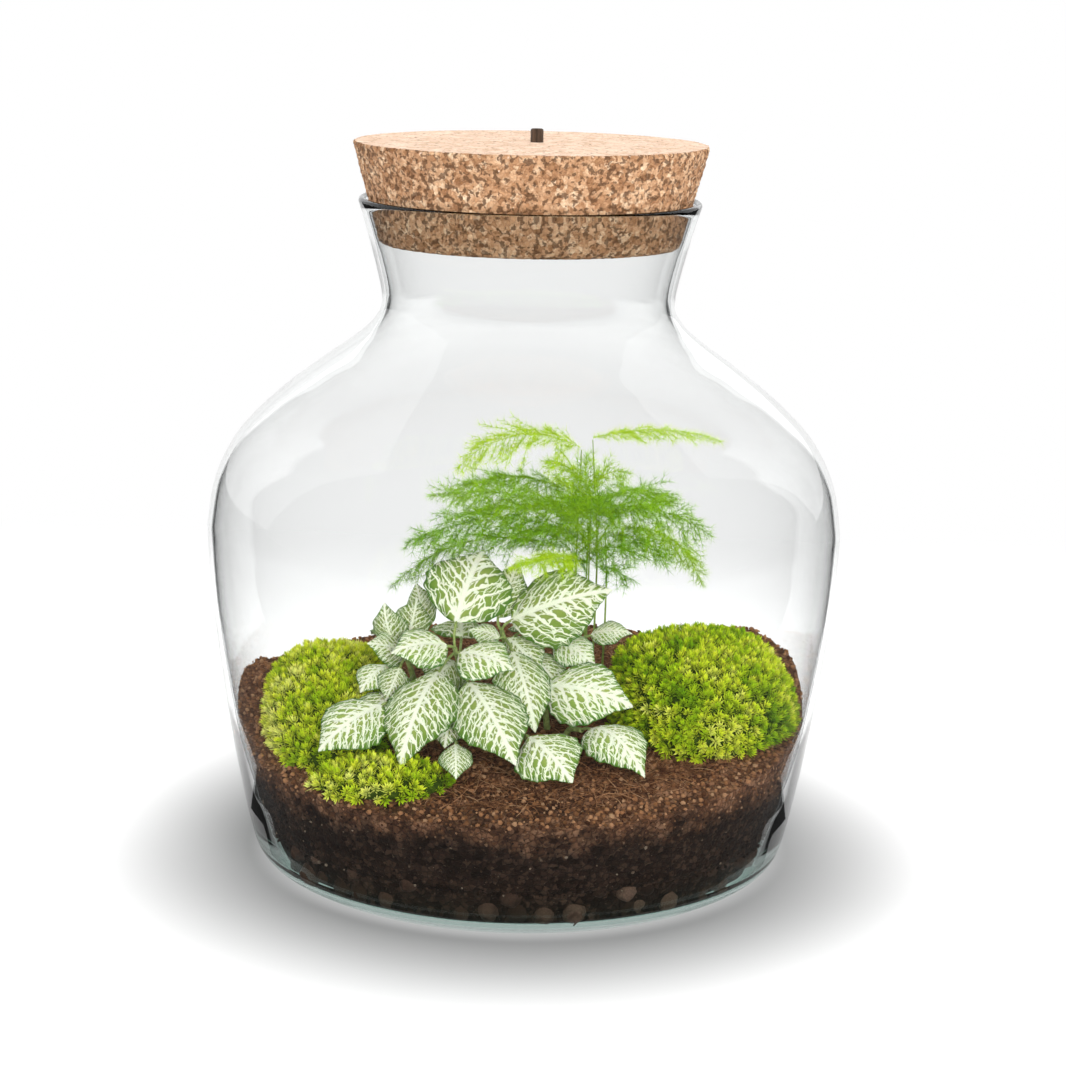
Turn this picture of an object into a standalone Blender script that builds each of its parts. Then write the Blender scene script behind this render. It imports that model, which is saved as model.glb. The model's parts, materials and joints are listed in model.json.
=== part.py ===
"""Corked glass jar terrarium: soil over clay pebbles, three moss cushions, a nerve plant and an asparagus fern.

Units are metres, +Z is up, and the origin is the centre of the jar's foot on the surface that it stands on.
Each separate physical piece is one object. The jar, cork, soil and pebble layer are turned shapes; leaves and
fern fronds are bent plates; stems are tubes.
"""
import math

import bmesh
import bpy
import numpy as np
from mathutils import Vector

MM = 0.001

# ---- driving dimensions, in millimetres ----
JAR_RADIUS = 125.0
RIM_HEIGHT = 261.6
RIM_RADIUS = 66.4
WAIST_RADIUS = 57.1
WAIST_HEIGHT = 223.0
FOOT_RADIUS = 98.0
FOOT_INNER_RADIUS = 82.0
PUNT_HEIGHT = 1.6
FLOOR_THICKNESS = 2.6
CORK_THICKNESS = 38.0
CORK_TOP = 283.0
CORK_TOP_RADIUS = 69.0
CORK_BOTTOM_RADIUS = 58.7
PEG_RADIUS = 2.5
PEG_STANDS_PROUD = 5.2
PEG_PLACE = (2.0, 1.0)
SOCKET_DEPTH = 12.0
GAP = 0.5
PEBBLE_TOP = 17.0
SEGMENTS = 48

# The jar's outside from the rim down to the foot, as (radius, height).
OUTSIDE = (
    (RIM_RADIUS, RIM_HEIGHT - 1.6),
    (61.2, 242.0),
    (WAIST_RADIUS, WAIST_HEIGHT),
    (59.9, 214.5),
    (68.0, 206.6),
    (81.5, 197.0),
    (97.2, 184.8),
    (112.4, 169.8),
    (121.0, 154.5),
    (124.4, 139.5),
    (JAR_RADIUS, 127.0),
    (123.2, 100.0),
    (118.1, 60.0),
    (113.0, 31.0),
    (108.9, 11.5),
    (106.0, 3.6),
    (FOOT_RADIUS + 3.6, 0.3),
)
# The wall's thickness at these heights, thick at the heel and at the waist.
WALL_HEIGHTS = (10.0, 30.0, 60.0, 100.0, 190.0, WAIST_HEIGHT, 245.0, RIM_HEIGHT)
WALL_THICKNESSES = (4.4, 3.5, 2.7, 2.5, 2.7, 3.3, 2.8, 2.8)

# The mounds on the soil: (x, y, height, spread).
MOUNDS = (
    (0.0, 10.0, 6.0, 42.0),
    (106.0, 26.0, 15.0, 26.0),
    (90.0, 66.0, 12.0, 22.0),
    (100.0, -52.0, 7.0, 28.0),
    (-108.0, 10.0, 12.0, 28.0),
    (34.0, -66.0, 4.0, 20.0),
)
SOIL_FRONT, SOIL_BACK = 45.5, 61.0

# Moss cushions: (x, y, radius along x, radius along y, height, how far the top leans along x).
CUSHIONS = {
    "moss_cushion_right": (73.0, -15.0, 38.0, 46.0, 33.0, -17.0),
    "moss_cushion_left": (-74.0, -14.0, 29.0, 54.0, 19.0, 9.0),
    "moss_tuft_front": (-48.0, -82.0, 22.0, 12.0, 6.0, 0.0),
}
CUSHION_GAP = 1.0

# Nerve plant leaves: base point, tip point, blade width, arch of the midrib, side that the blade faces.
# Points are (x, y, z). The last vector is roughly the way that the upper side faces.
NERVE_LEAVES = {
    "nerve_leaf_crown_back": ((-26, -27, 97), (-16, -5, 122), 33, 8, (-0.1, -1, 0.5)),
    "nerve_leaf_crown_left": ((-28, -31, 90), (-50, -42, 90), 20, 4, (0, -0.7, 1)),
    "nerve_leaf_crown_right": ((-25, -34, 88), (-3, -47, 86), 21, 4, (0, -0.7, 1)),
    "nerve_leaf_front_left": ((-31, -36, 82), (-44, -77, 56), 27, 7, (-0.2, -0.7, 1)),
    "nerve_leaf_front_centre": ((-21, -40, 79), (-1, -82, 59), 27, 6, (0, -0.7, 1)),
    "nerve_leaf_right_high": ((-6, -19, 97), (35, -24, 112), 31, 4, (-0.1, -1, 0.9)),
    "nerve_leaf_middle_high": ((-10, -16, 97), (-2, -4, 118), 15, 2, (0, -1, 0.5)),
    "nerve_leaf_middle_small": ((-8, -22, 91), (-21, -21, 94), 11, 2, (0, -0.6, 1)),
    "nerve_leaf_middle_front": ((-4, -26, 88), (6, -57, 64), 21, 5, (0.1, -0.8, 1)),
    "nerve_leaf_right_low": ((8, -37, 76), (43, -53, 74), 27, 6, (0, -1, 1)),
    "nerve_leaf_right_folded": ((13, -18, 90), (29, -33, 84), 15, 3, (-0.2, -0.7, 1)),
    "nerve_leaf_right_back": ((27, -4, 88), (44, -10, 91), 11, 3, (-0.2, -0.8, 1)),
    "nerve_leaf_left_tall": ((-49, -20, 86), (-54, -23, 105), 14, 3, (-0.4, -1, 0.3)),
    "nerve_leaf_left_inner": ((-45, -15, 88), (-42, -8, 103), 14, 2, (0.1, -1, 0.4)),
    "nerve_leaf_left_behind": ((-38, -9, 90), (-43, 1, 107), 11, 2, (0, -1, 0.4)),
    "nerve_leaf_left_low": ((-52, -27, 81), (-62, -40, 73), 15, 3, (-0.2, -0.8, 1)),
    "nerve_leaf_left_under": ((-47, -32, 82), (-52, -44, 71), 12, 2, (0.3, -0.8, 1)),
    "nerve_leaf_far_left": ((-52, -51, 72), (-75, -70, 59), 24, 5, (-0.1, -0.8, 1)),
    "nerve_leaf_bottom_centre": ((3, -65, 65), (20, -88, 55), 25, 4, (0.1, -1, 1)),
    "nerve_leaf_bottom_right": ((26, -52, 64), (47, -78, 54), 23, 8, (0.3, -0.8, 1)),
    "nerve_leaf_bottom_left": ((-24, -66, 62), (-23, -84, 54), 12, 2, (0, -0.8, 1)),
    "nerve_leaf_rear_left": ((-40, -8, 84), (-62, 14, 82), 22, 5, (-0.2, 0.6, 1)),
    "nerve_leaf_rear_centre": ((-24, -14, 88), (-26, 20, 82), 22, 6, (0, 0.7, 1)),
    "nerve_leaf_rear_right": ((0, -9, 90), (9, 14, 84), 18, 5, (0.1, 0.7, 1)),
}
LEAF_THICKNESS = 0.7
LEAF_ROWS, LEAF_COLUMNS = 8, 4

# Nerve plant stems: the foot's place on the soil, then points up to the top.
NERVE_STEMS = {
    "nerve_stem_crown": ((-25, -22), (-24, -25, 78), (-26, -29, 89)),
    "nerve_stem_middle": ((-6, -10), (-5, -14, 80), (-8, -17, 93)),
    "nerve_stem_right": ((11, -26), (9, -30, 68), (6, -35, 73)),
    "nerve_stem_left": ((-39, -16), (-43, -17, 74), (-46, -18, 83)),
    "nerve_stem_trailing": ((17, -40), (19, -44, 61), (24, -50, 63)),
}
NERVE_STEM_RADIUS = 1.3

# Fern fronds: base point, tip point, width, arch, facing vector. Each plate holds one feathery spray.
FERN_FRONDS = {
    "fern_frond_top_left": ((22, 19, 160), (-27, 9, 152), 26, 11, (0, -0.3, 1)),
    "fern_frond_top_right": ((27, 21, 164), (79, 25, 163), 14, 4, (0.1, -0.1, 1)),
    "fern_frond_upright": ((27, 15, 141), (24, 14, 157), 12, 1, (0, -1, 0.1)),
    "fern_frond_left_high": ((17, 12, 137), (-37, -2, 144), 26, 4, (0, -0.2, 1)),
    "fern_frond_left_mid": ((20, 15, 126), (-47, 4, 123), 34, 8, (0, -0.1, 1)),
    "fern_frond_left_low": ((16, 19, 119), (-55, 28, 98), 24, 11, (-0.1, 0.1, 1)),
    "fern_frond_front": ((21, -2, 120), (-4, -38, 123), 22, 2, (0, -0.1, 1)),
    "fern_frond_right_high": ((35, 13, 136), (75, -3, 130), 24, 5, (0.1, -0.2, 1)),
    "fern_frond_right_mid": ((33, 19, 127), (74, 32, 101), 28, 10, (0.2, 0, 1)),
    "fern_frond_back": ((27, 32, 128), (28, 80, 122), 28, 7, (0, 0.1, 1)),
    "fern_frond_back_left": ((19, 30, 140), (-30, 58, 134), 26, 6, (0, 0.1, 1)),
    "fern_frond_back_right": ((33, 27, 138), (62, 62, 128), 24, 6, (0.1, 0.1, 1)),
}
FROND_THICKNESS = 5.0

# Fern stems: the foot's place on the soil, then points up to the top.
FERN_STEMS = {
    "fern_stem_top_left": ((22, 22), (21.5, 20.5, 110), (22.5, 19, 155)),
    "fern_stem_top_right": ((29, 23), (30, 22, 115), (27, 21, 160)),
    "fern_stem_upright": ((26, 17), (26.5, 15, 100), (27, 15, 139)),
    "fern_stem_right": ((33, 18), (34, 18, 100), (33, 18, 123)),
    "fern_stem_back": ((26, 27), (26, 30, 98), (27, 31, 124)),
    "fern_stem_left": ((18, 17), (18, 17, 92), (17, 18, 115)),
}
FERN_STEM_RADIUS = 0.7
STEM_FOOT_GAP = 1.0


def clear_scene():
    for obj in list(bpy.data.objects):
        bpy.data.objects.remove(obj)


def new_collection(name):
    collection = bpy.data.collections.new(name)
    bpy.context.scene.collection.children.link(collection)
    return collection


def material(name, colour, roughness, metallic=0.0, transmission=0.0):
    made = bpy.data.materials.new(name)
    made.use_nodes = True
    shader = made.node_tree.nodes["Principled BSDF"]
    shader.inputs["Base Color"].default_value = (*colour, 1.0)
    shader.inputs["Roughness"].default_value = roughness
    shader.inputs["Metallic"].default_value = metallic
    shader.inputs["Transmission Weight"].default_value = transmission
    made.diffuse_color = (*colour, 1.0)
    return made


def add_object(name, data, collection, finish):
    obj = bpy.data.objects.new(name, data)
    collection.objects.link(obj)
    data.materials.append(finish)
    return obj


def smooth_through(points, steps):
    """Points on a Catmull-Rom curve through the given ones, with this many steps between each two."""
    known = [np.array(p, float) for p in points]
    known = [2 * known[0] - known[1], *known, 2 * known[-1] - known[-2]]
    made = []
    for a, b, c, d in zip(known, known[1:], known[2:], known[3:]):
        for t in np.arange(steps) / steps:
            made.append(
                0.5 * (2 * b + (c - a) * t + (2 * a - 5 * b + 4 * c - d) * t**2 + (3 * b - a - 3 * c + d) * t**3)
            )
    return [*made, known[-2]]


# ---- jar ----
def wall_thickness(height):
    return float(np.interp(height, WALL_HEIGHTS, WALL_THICKNESSES))


def jar_outline():
    """(outside, inside) of the wall as lists of (radius, height), both from the rim down."""
    outside = smooth_through(OUTSIDE, 2)
    inside = []
    for before, here, after in zip(outside, outside[1:], outside[2:]):
        along = (after - before) / np.linalg.norm(after - before)
        inward = np.array((along[1], -along[0]))
        point = here + inward * wall_thickness(here[1])
        if point[1] > FLOOR_THICKNESS + 5.0:
            inside.append(point)
    return outside, inside


def inner_radius(height):
    """The radius of the jar's inside at this height, below its widest place."""
    _, inside = jar_outline()
    low = sorted((p[1], p[0]) for p in inside if p[1] < 130.0)
    return float(np.interp(height, [z for z, _ in low], [r for _, r in low]))


def jar_profile():
    """The whole section, from the middle of the floor up the inside, over the lip and down the outside."""
    outside, inside = jar_outline()
    mouth = RIM_RADIUS - wall_thickness(RIM_HEIGHT)
    floor = [(0.0, FLOOR_THICKNESS + PUNT_HEIGHT), (60.0, FLOOR_THICKNESS + 0.6), (88.0, FLOOR_THICKNESS)]
    floor += [(98.0, FLOOR_THICKNESS + 0.3), (103.0, FLOOR_THICKNESS + 2.8)]
    lip = [(mouth, RIM_HEIGHT - 1.4), (mouth + 0.5, RIM_HEIGHT - 0.3), (mouth + 1.4, RIM_HEIGHT)]
    lip += [(RIM_RADIUS - 0.4, RIM_HEIGHT - 0.4)]
    foot = [(FOOT_RADIUS, 0.0), (FOOT_INNER_RADIUS, 0.0), (FOOT_INNER_RADIUS - 5.0, 0.7), (0.0, PUNT_HEIGHT)]
    return [*floor, *reversed(inside), *lip, *outside, *foot]


def turned(name, profile, collection, finish):
    """A solid of revolution: the profile of (radius, height) runs down its outer side and ends on the axis."""
    mesh = bpy.data.meshes.new(name)
    points = [(r * MM, 0.0, z * MM) for r, z in profile]
    mesh.from_pydata(points, [(i, i + 1) for i in range(len(points) - 1)], [])
    obj = add_object(name, mesh, collection, finish)
    screw = obj.modifiers.new("turn", "SCREW")
    screw.steps = screw.render_steps = SEGMENTS
    screw.use_merge_vertices = True
    screw.merge_threshold = 0.00001
    screw.use_smooth_shade = True
    return obj


def made_mesh(obj):
    """Replaces the object's mesh by its evaluated one, so that its points can be moved."""
    bpy.context.view_layer.update()
    graph = bpy.context.evaluated_depsgraph_get()
    mesh = bpy.data.meshes.new_from_object(obj.evaluated_get(graph))
    obj.modifiers.clear()
    obj.data = mesh
    return mesh


def make_jar(collection, finish):
    return turned("glass_jar", jar_profile(), collection, finish)


# ---- cork and peg ----
def make_cork(collection, cutters, finish):
    bottom = CORK_TOP - CORK_THICKNESS
    edge = 0.8
    profile = [(0.0, CORK_TOP), (CORK_TOP_RADIUS - edge, CORK_TOP), (CORK_TOP_RADIUS, CORK_TOP - edge)]
    profile += [(CORK_BOTTOM_RADIUS, bottom + edge), (CORK_BOTTOM_RADIUS - edge, bottom), (0.0, bottom)]
    cork = turned("cork_stopper", profile, collection, finish)
    bpy.ops.mesh.primitive_cylinder_add(vertices=20, radius=(PEG_RADIUS + 0.35) * MM, depth=2 * SOCKET_DEPTH * MM)
    socket = bpy.context.object
    socket.name = "peg_socket"
    socket.location = (PEG_PLACE[0] * MM, PEG_PLACE[1] * MM, CORK_TOP * MM)
    for holder in list(socket.users_collection):
        holder.objects.unlink(socket)
    cutters.objects.link(socket)
    socket.hide_render = True
    socket.display_type = "WIRE"
    cut = cork.modifiers.new("socket", "BOOLEAN")
    cut.operation = "DIFFERENCE"
    cut.object = socket
    return cork


def make_peg(collection, finish):
    """A plain dowel with eased ends, standing in the cork's socket."""
    top = CORK_TOP + PEG_STANDS_PROUD
    bottom = CORK_TOP - SOCKET_DEPTH + 0.3
    profile = [(0.0, top), (PEG_RADIUS - 0.4, top), (PEG_RADIUS, top - 0.4)]
    profile += [(PEG_RADIUS, bottom + 0.4), (PEG_RADIUS - 0.4, bottom), (0.0, bottom)]
    peg = turned("cork_peg", profile, collection, finish)
    peg.modifiers["turn"].steps = peg.modifiers["turn"].render_steps = 16
    peg.location = (PEG_PLACE[0] * MM, PEG_PLACE[1] * MM, 0.0)
    return peg


# ---- soil and pebbles ----
def soil_height(x, y):
    """The soil's surface in millimetres: it rises to the back, with low mounds."""
    height = SOIL_FRONT + (SOIL_BACK - SOIL_FRONT) * (y + 115.0) / 230.0
    for mound_x, mound_y, rise, spread in MOUNDS:
        height += rise * math.exp(-((x - mound_x) ** 2 + (y - mound_y) ** 2) / (2 * spread**2))
    return height


def make_soil(collection, finish):
    """Turned as a flat-topped filling of the jar, then its top is lifted to the mounded surface."""
    flat_top = 200.0
    rings = [(r, flat_top) for r in (0.0, 16.0, 32.0, 48.0, 64.0, 80.0, 95.0)]
    sides = [(0.0, flat_top), *rings[1:], (110.0, flat_top)]
    for height in (36.0, 28.0, PEBBLE_TOP + 2.0):
        sides.append((inner_radius(height) - GAP, height))
    sides += [(inner_radius(PEBBLE_TOP) - GAP - 2.0, PEBBLE_TOP + GAP), (0.0, PEBBLE_TOP + GAP)]
    soil = turned("potting_soil", sides, collection, finish)
    for vertex in made_mesh(soil).vertices:
        if vertex.co.z < 0.9 * flat_top * MM:
            continue
        x, y = vertex.co.x / MM, vertex.co.y / MM
        if math.hypot(x, y) > 105.0:
            stretch = (inner_radius(soil_height(x, y)) - GAP - 0.4) / math.hypot(x, y)
            x, y = x * stretch, y * stretch
        vertex.co = (x * MM, y * MM, soil_height(x, y) * MM)
    return soil


def make_pebbles(collection, finish):
    low = FLOOR_THICKNESS + PUNT_HEIGHT + GAP
    profile = [(0.0, PEBBLE_TOP), (inner_radius(PEBBLE_TOP) - GAP - 3.0, PEBBLE_TOP)]
    profile += [(inner_radius(14.0) - GAP - 0.6, 14.0), (101.4, FLOOR_THICKNESS + 4.6)]
    profile += [(97.2, FLOOR_THICKNESS + 1.6), (88.0, FLOOR_THICKNESS + GAP + 0.6), (60.0, low), (0.0, low)]
    return turned("clay_pebbles", profile, collection, finish)


# ---- moss ----
def make_cushion(name, collection, finish):
    """A dome on the soil: a sphere whose lower half is pressed onto the surface."""
    x0, y0, radius_x, radius_y, rise, lean = CUSHIONS[name]
    mesh = bpy.data.meshes.new(name)
    shape = bmesh.new()
    bmesh.ops.create_uvsphere(shape, u_segments=24, v_segments=12, radius=1.0)
    for vertex in shape.verts:
        side_x, side_y, up = vertex.co
        x, y = x0 + radius_x * side_x, y0 + radius_y * side_y
        x += lean * max(up, 0.0) ** 2
        base = soil_height(x, y) + CUSHION_GAP
        vertex.co = (x * MM, y * MM, (base + rise * max(up, 0.0) ** 0.8) * MM)
    shape.to_mesh(mesh)
    shape.free()
    return add_object(name, mesh, collection, finish)


# ---- leaves, fronds and stems ----
def blade_axes(base, tip, facing):
    """Unit vectors along the blade, across it and out of its upper side."""
    along = (tip - base).normalized()
    across = along.cross(Vector(facing)).normalized()
    return along, across, across.cross(along).normalized()


def leaf_half_width(t):
    """Share of the half width at t from base to tip: a short stalk, then an egg-shaped blade."""
    if t < 0.1:
        return 0.06
    s = (t - 0.1) / 0.9
    return 0.05 + 0.95 * math.sin(math.pi * s**0.78) ** 0.72 if s < 1.0 else 0.05


def frond_half_width(t):
    """Share of the half width: narrow at the base, widest at a third, drawn out to the tip."""
    return 0.1 + 0.9 * math.sin(math.pi * t**0.6) ** 0.9


def bent_plate(name, leaf, half_width, thickness, curl, collection, finish):
    """A plate that follows an arched midrib from base to tip, its sides curling down by curl times the width."""
    base, tip, width, arch, facing = leaf
    base, tip = Vector(base), Vector(tip)
    along, across, out = blade_axes(base, tip, facing)
    length = (tip - base).length
    mesh = bpy.data.meshes.new(name)
    shape = bmesh.new()
    bmesh.ops.create_grid(shape, x_segments=LEAF_ROWS, y_segments=LEAF_COLUMNS, size=1.0)
    for vertex in shape.verts:
        t, side = (vertex.co.x + 1) / 2, vertex.co.y
        reach = width / 2 * max(half_width(min(max(t, 0.0), 1.0)), 0.0)
        rise = 4 * arch * t * (1 - t) - curl * reach * side**2
        vertex.co = (base + along * (length * t) + across * (reach * side) + out * rise) * MM
    bmesh.ops.recalc_face_normals(shape, faces=shape.faces)
    shape.to_mesh(mesh)
    shape.free()
    obj = add_object(name, mesh, collection, finish)
    skin = obj.modifiers.new("thickness", "SOLIDIFY")
    skin.thickness = thickness * MM
    skin.offset = 0.0
    return obj


def tube(name, points, radius, collection, finish):
    """A round stem: the first point is a place on the soil, and the stem starts just above it."""
    foot_x, foot_y = points[0]
    foot = (foot_x, foot_y, soil_height(foot_x, foot_y) + STEM_FOOT_GAP)
    curve = bpy.data.curves.new(name, "CURVE")
    curve.dimensions = "3D"
    curve.bevel_depth = radius * MM
    curve.bevel_resolution = 1
    curve.use_fill_caps = True
    route = smooth_through([foot, *points[1:]], 3)
    spline = curve.splines.new("POLY")
    spline.points.add(len(route) - 1)
    for place, point in zip(spline.points, route):
        place.co = (*(point * MM), 1.0)
    return add_object(name, curve, collection, finish)


def main():
    clear_scene()
    terrarium = new_collection("glass_terrarium")
    cutters = new_collection("cutters")

    glass = material("clear_glass", (0.86, 0.93, 0.9), 0.02, transmission=1.0)
    cork = material("pressed_cork", (0.62, 0.4, 0.24), 0.85)
    dark_wood = material("dark_wood", (0.06, 0.04, 0.03), 0.6)
    soil = material("potting_soil", (0.1, 0.055, 0.035), 0.95)
    clay = material("fired_clay", (0.16, 0.09, 0.06), 0.9)
    moss = material("cushion_moss", (0.28, 0.42, 0.05), 0.8)
    nerve_leaf = material("nerve_leaf", (0.62, 0.72, 0.42), 0.5)
    nerve_stem = material("nerve_stem", (0.3, 0.42, 0.14), 0.6)
    fern_spray = material("fern_spray", (0.2, 0.5, 0.06), 0.6)
    fern_stem = material("fern_stem", (0.18, 0.26, 0.08), 0.6)

    make_jar(terrarium, glass)
    make_cork(terrarium, cutters, cork)
    make_peg(terrarium, dark_wood)
    make_pebbles(terrarium, clay)
    make_soil(terrarium, soil)
    for name in CUSHIONS:
        make_cushion(name, terrarium, moss)
    for name, points in NERVE_STEMS.items():
        tube(name, points, NERVE_STEM_RADIUS, terrarium, nerve_stem)
    for name, leaf in NERVE_LEAVES.items():
        bent_plate(name, leaf, leaf_half_width, LEAF_THICKNESS, 0.3, terrarium, nerve_leaf)
    for name, points in FERN_STEMS.items():
        tube(name, points, FERN_STEM_RADIUS, terrarium, fern_stem)
    for name, frond in FERN_FRONDS.items():
        bent_plate(name, frond, frond_half_width, FROND_THICKNESS, 0.25, terrarium, fern_spray)


main()
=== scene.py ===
"""Looks for the corked glass terrarium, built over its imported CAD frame.

A blown jar holds clay pebbles, dark soil, three moss cushions, a white-veined nerve plant and an asparagus fern.
Shapes are worked out in millimetres, as in the CAD, and turned into metres when a mesh is made. The origin is the
centre of the jar's foot, +Z is up and the planting faces -Y.
"""
import json
import math

import bpy
import numpy as np
from mathutils import Matrix, Vector, noise

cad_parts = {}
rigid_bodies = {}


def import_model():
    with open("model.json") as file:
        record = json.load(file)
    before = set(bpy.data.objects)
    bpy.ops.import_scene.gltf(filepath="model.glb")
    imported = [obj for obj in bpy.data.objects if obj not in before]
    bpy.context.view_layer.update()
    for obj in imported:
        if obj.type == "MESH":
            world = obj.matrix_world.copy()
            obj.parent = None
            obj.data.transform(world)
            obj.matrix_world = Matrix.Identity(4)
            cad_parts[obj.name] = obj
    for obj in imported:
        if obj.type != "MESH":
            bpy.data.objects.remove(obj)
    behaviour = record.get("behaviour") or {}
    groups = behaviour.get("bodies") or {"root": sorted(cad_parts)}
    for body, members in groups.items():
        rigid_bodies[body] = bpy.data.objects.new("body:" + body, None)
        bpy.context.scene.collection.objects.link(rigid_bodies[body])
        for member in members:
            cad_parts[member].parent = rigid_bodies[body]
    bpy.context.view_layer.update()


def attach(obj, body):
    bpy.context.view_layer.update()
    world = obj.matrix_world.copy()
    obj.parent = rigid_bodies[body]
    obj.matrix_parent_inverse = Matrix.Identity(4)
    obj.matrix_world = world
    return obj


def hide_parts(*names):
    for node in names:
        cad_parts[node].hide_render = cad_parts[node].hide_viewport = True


bl_info = {
    "name": "Glass terrarium looks",
    "version": (1, 0, 0),
    "blender": (4, 5, 0),
    "location": "3D View > Sidebar > Terrarium",
    "description": "Builds the visible jar, cork, soil, moss and plants over the CAD frame",
    "category": "Add Mesh",
}

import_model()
BODY = "root"
MM = 0.001

# ---- the jar's shape, in millimetres, as in the CAD ----
JAR_RADIUS = 125.0
RIM_HEIGHT = 261.6
RIM_RADIUS = 66.4
WAIST_RADIUS, WAIST_HEIGHT = 57.1, 223.0
FOOT_RADIUS, FOOT_INNER_RADIUS = 98.0, 82.0
PUNT_HEIGHT = 1.6
FLOOR_THICKNESS = 2.6
OUTSIDE = (
    (RIM_RADIUS, RIM_HEIGHT - 1.6),
    (61.2, 242.0),
    (WAIST_RADIUS, WAIST_HEIGHT),
    (59.9, 214.5),
    (68.0, 206.6),
    (81.5, 197.0),
    (97.2, 184.8),
    (112.4, 169.8),
    (121.0, 154.5),
    (124.4, 139.5),
    (JAR_RADIUS, 127.0),
    (123.2, 100.0),
    (118.1, 60.0),
    (113.0, 31.0),
    (108.9, 11.5),
    (106.0, 3.6),
    (FOOT_RADIUS + 3.6, 0.3),
)
WALL_HEIGHTS = (10.0, 30.0, 60.0, 100.0, 190.0, WAIST_HEIGHT, 245.0, RIM_HEIGHT)
WALL_THICKNESSES = (4.4, 3.5, 2.7, 2.5, 2.7, 3.3, 2.8, 2.8)

# ---- cork and peg ----
CORK_THICKNESS, CORK_TOP = 38.0, 283.0
CORK_TOP_RADIUS, CORK_BOTTOM_RADIUS = 69.0, 58.7
PEG_RADIUS, PEG_STANDS_PROUD, PEG_PLACE = 2.5, 5.2, (2.0, 1.0)
CORK_SIDE_COLOURS = ((0.23, 0.1, 0.04), (0.47, 0.25, 0.125), (0.62, 0.375, 0.215), (0.78, 0.58, 0.39))
CORK_TOP_COLOURS = ((0.5, 0.32, 0.2), (0.66, 0.46, 0.33), (0.72, 0.53, 0.4), (0.8, 0.63, 0.5))

# ---- soil, pebbles and moss ----
PEBBLE_TOP = 17.0
# Rings of clay balls by the glass: radius, height, how many places, and the share of them left empty.
PEBBLE_RINGS = (
    (99.4, 8.6, 64, 0.1),
    (92.0, 7.6, 60, 0.1),
    (101.8, 16.0, 64, 0.42),
    (102.8, 22.5, 62, 0.88),
    (83.0, 7.2, 54, 0.1),
)
INNER_PEBBLE_RINGS = (76, 67, 58, 49, 40, 31, 22, 13, 4)
MOUNDS = (
    (0.0, 10.0, 6.0, 42.0),
    (106.0, 26.0, 15.0, 26.0),
    (90.0, 66.0, 12.0, 22.0),
    (100.0, -52.0, 7.0, 28.0),
    (-108.0, 10.0, 12.0, 28.0),
    (34.0, -66.0, 4.0, 20.0),
)
SOIL_FRONT, SOIL_BACK = 45.5, 61.0
SOIL_REACH, SOIL_BOTTOM = 113.0, PEBBLE_TOP - 4.0
CUSHIONS = {
    "moss_cushion_right": (73.0, -15.0, 38.0, 46.0, 33.0, -17.0),
    "moss_cushion_left": (-74.0, -14.0, 29.0, 54.0, 19.0, 9.0),
    "moss_tuft_front": (-51.0, -77.0, 26.0, 16.0, 8.0, 0.0),
}

# Whorls of leaves on a moss shoot: height, how many, how far they lean out in radians, and their length.
MOSS_WHORLS = ((0.8, 6, 1.3, 2.6), (1.7, 7, 1.05, 2.9), (2.5, 6, 0.75, 2.6), (3.0, 5, 0.35, 2.2))
# A cushion lower than the first of these is flat. Its bed lies this much below the tips of its shoots.
FLAT_CUSHION, FLAT_SHOOT_DEPTH, SHOOT_DEPTH = 10.0, 2.4, 3.6
# Each colour with its place on the ramp, from dark to pale.
DRY_CRUMB_COLOURS = (
    (0.0, (0.09, 0.032, 0.015)),
    (0.45, (0.36, 0.155, 0.065)),
    (0.8, (0.56, 0.27, 0.13)),
    (1.0, (0.62, 0.36, 0.2)),
)
WET_CRUMB_COLOURS = (
    (0.0, (0.006, 0.004, 0.003)),
    (0.6, (0.03, 0.018, 0.012)),
    (0.93, (0.08, 0.05, 0.035)),
    (1.0, (0.35, 0.27, 0.2)),
)
MOSS_TIP_COLOURS = (
    (0.1, (0.24, 0.44, 0.008)),
    (0.4, (0.52, 0.7, 0.015)),
    (0.7, (0.85, 0.9, 0.05)),
    (1.0, (0.97, 0.97, 0.25)),
)

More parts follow.
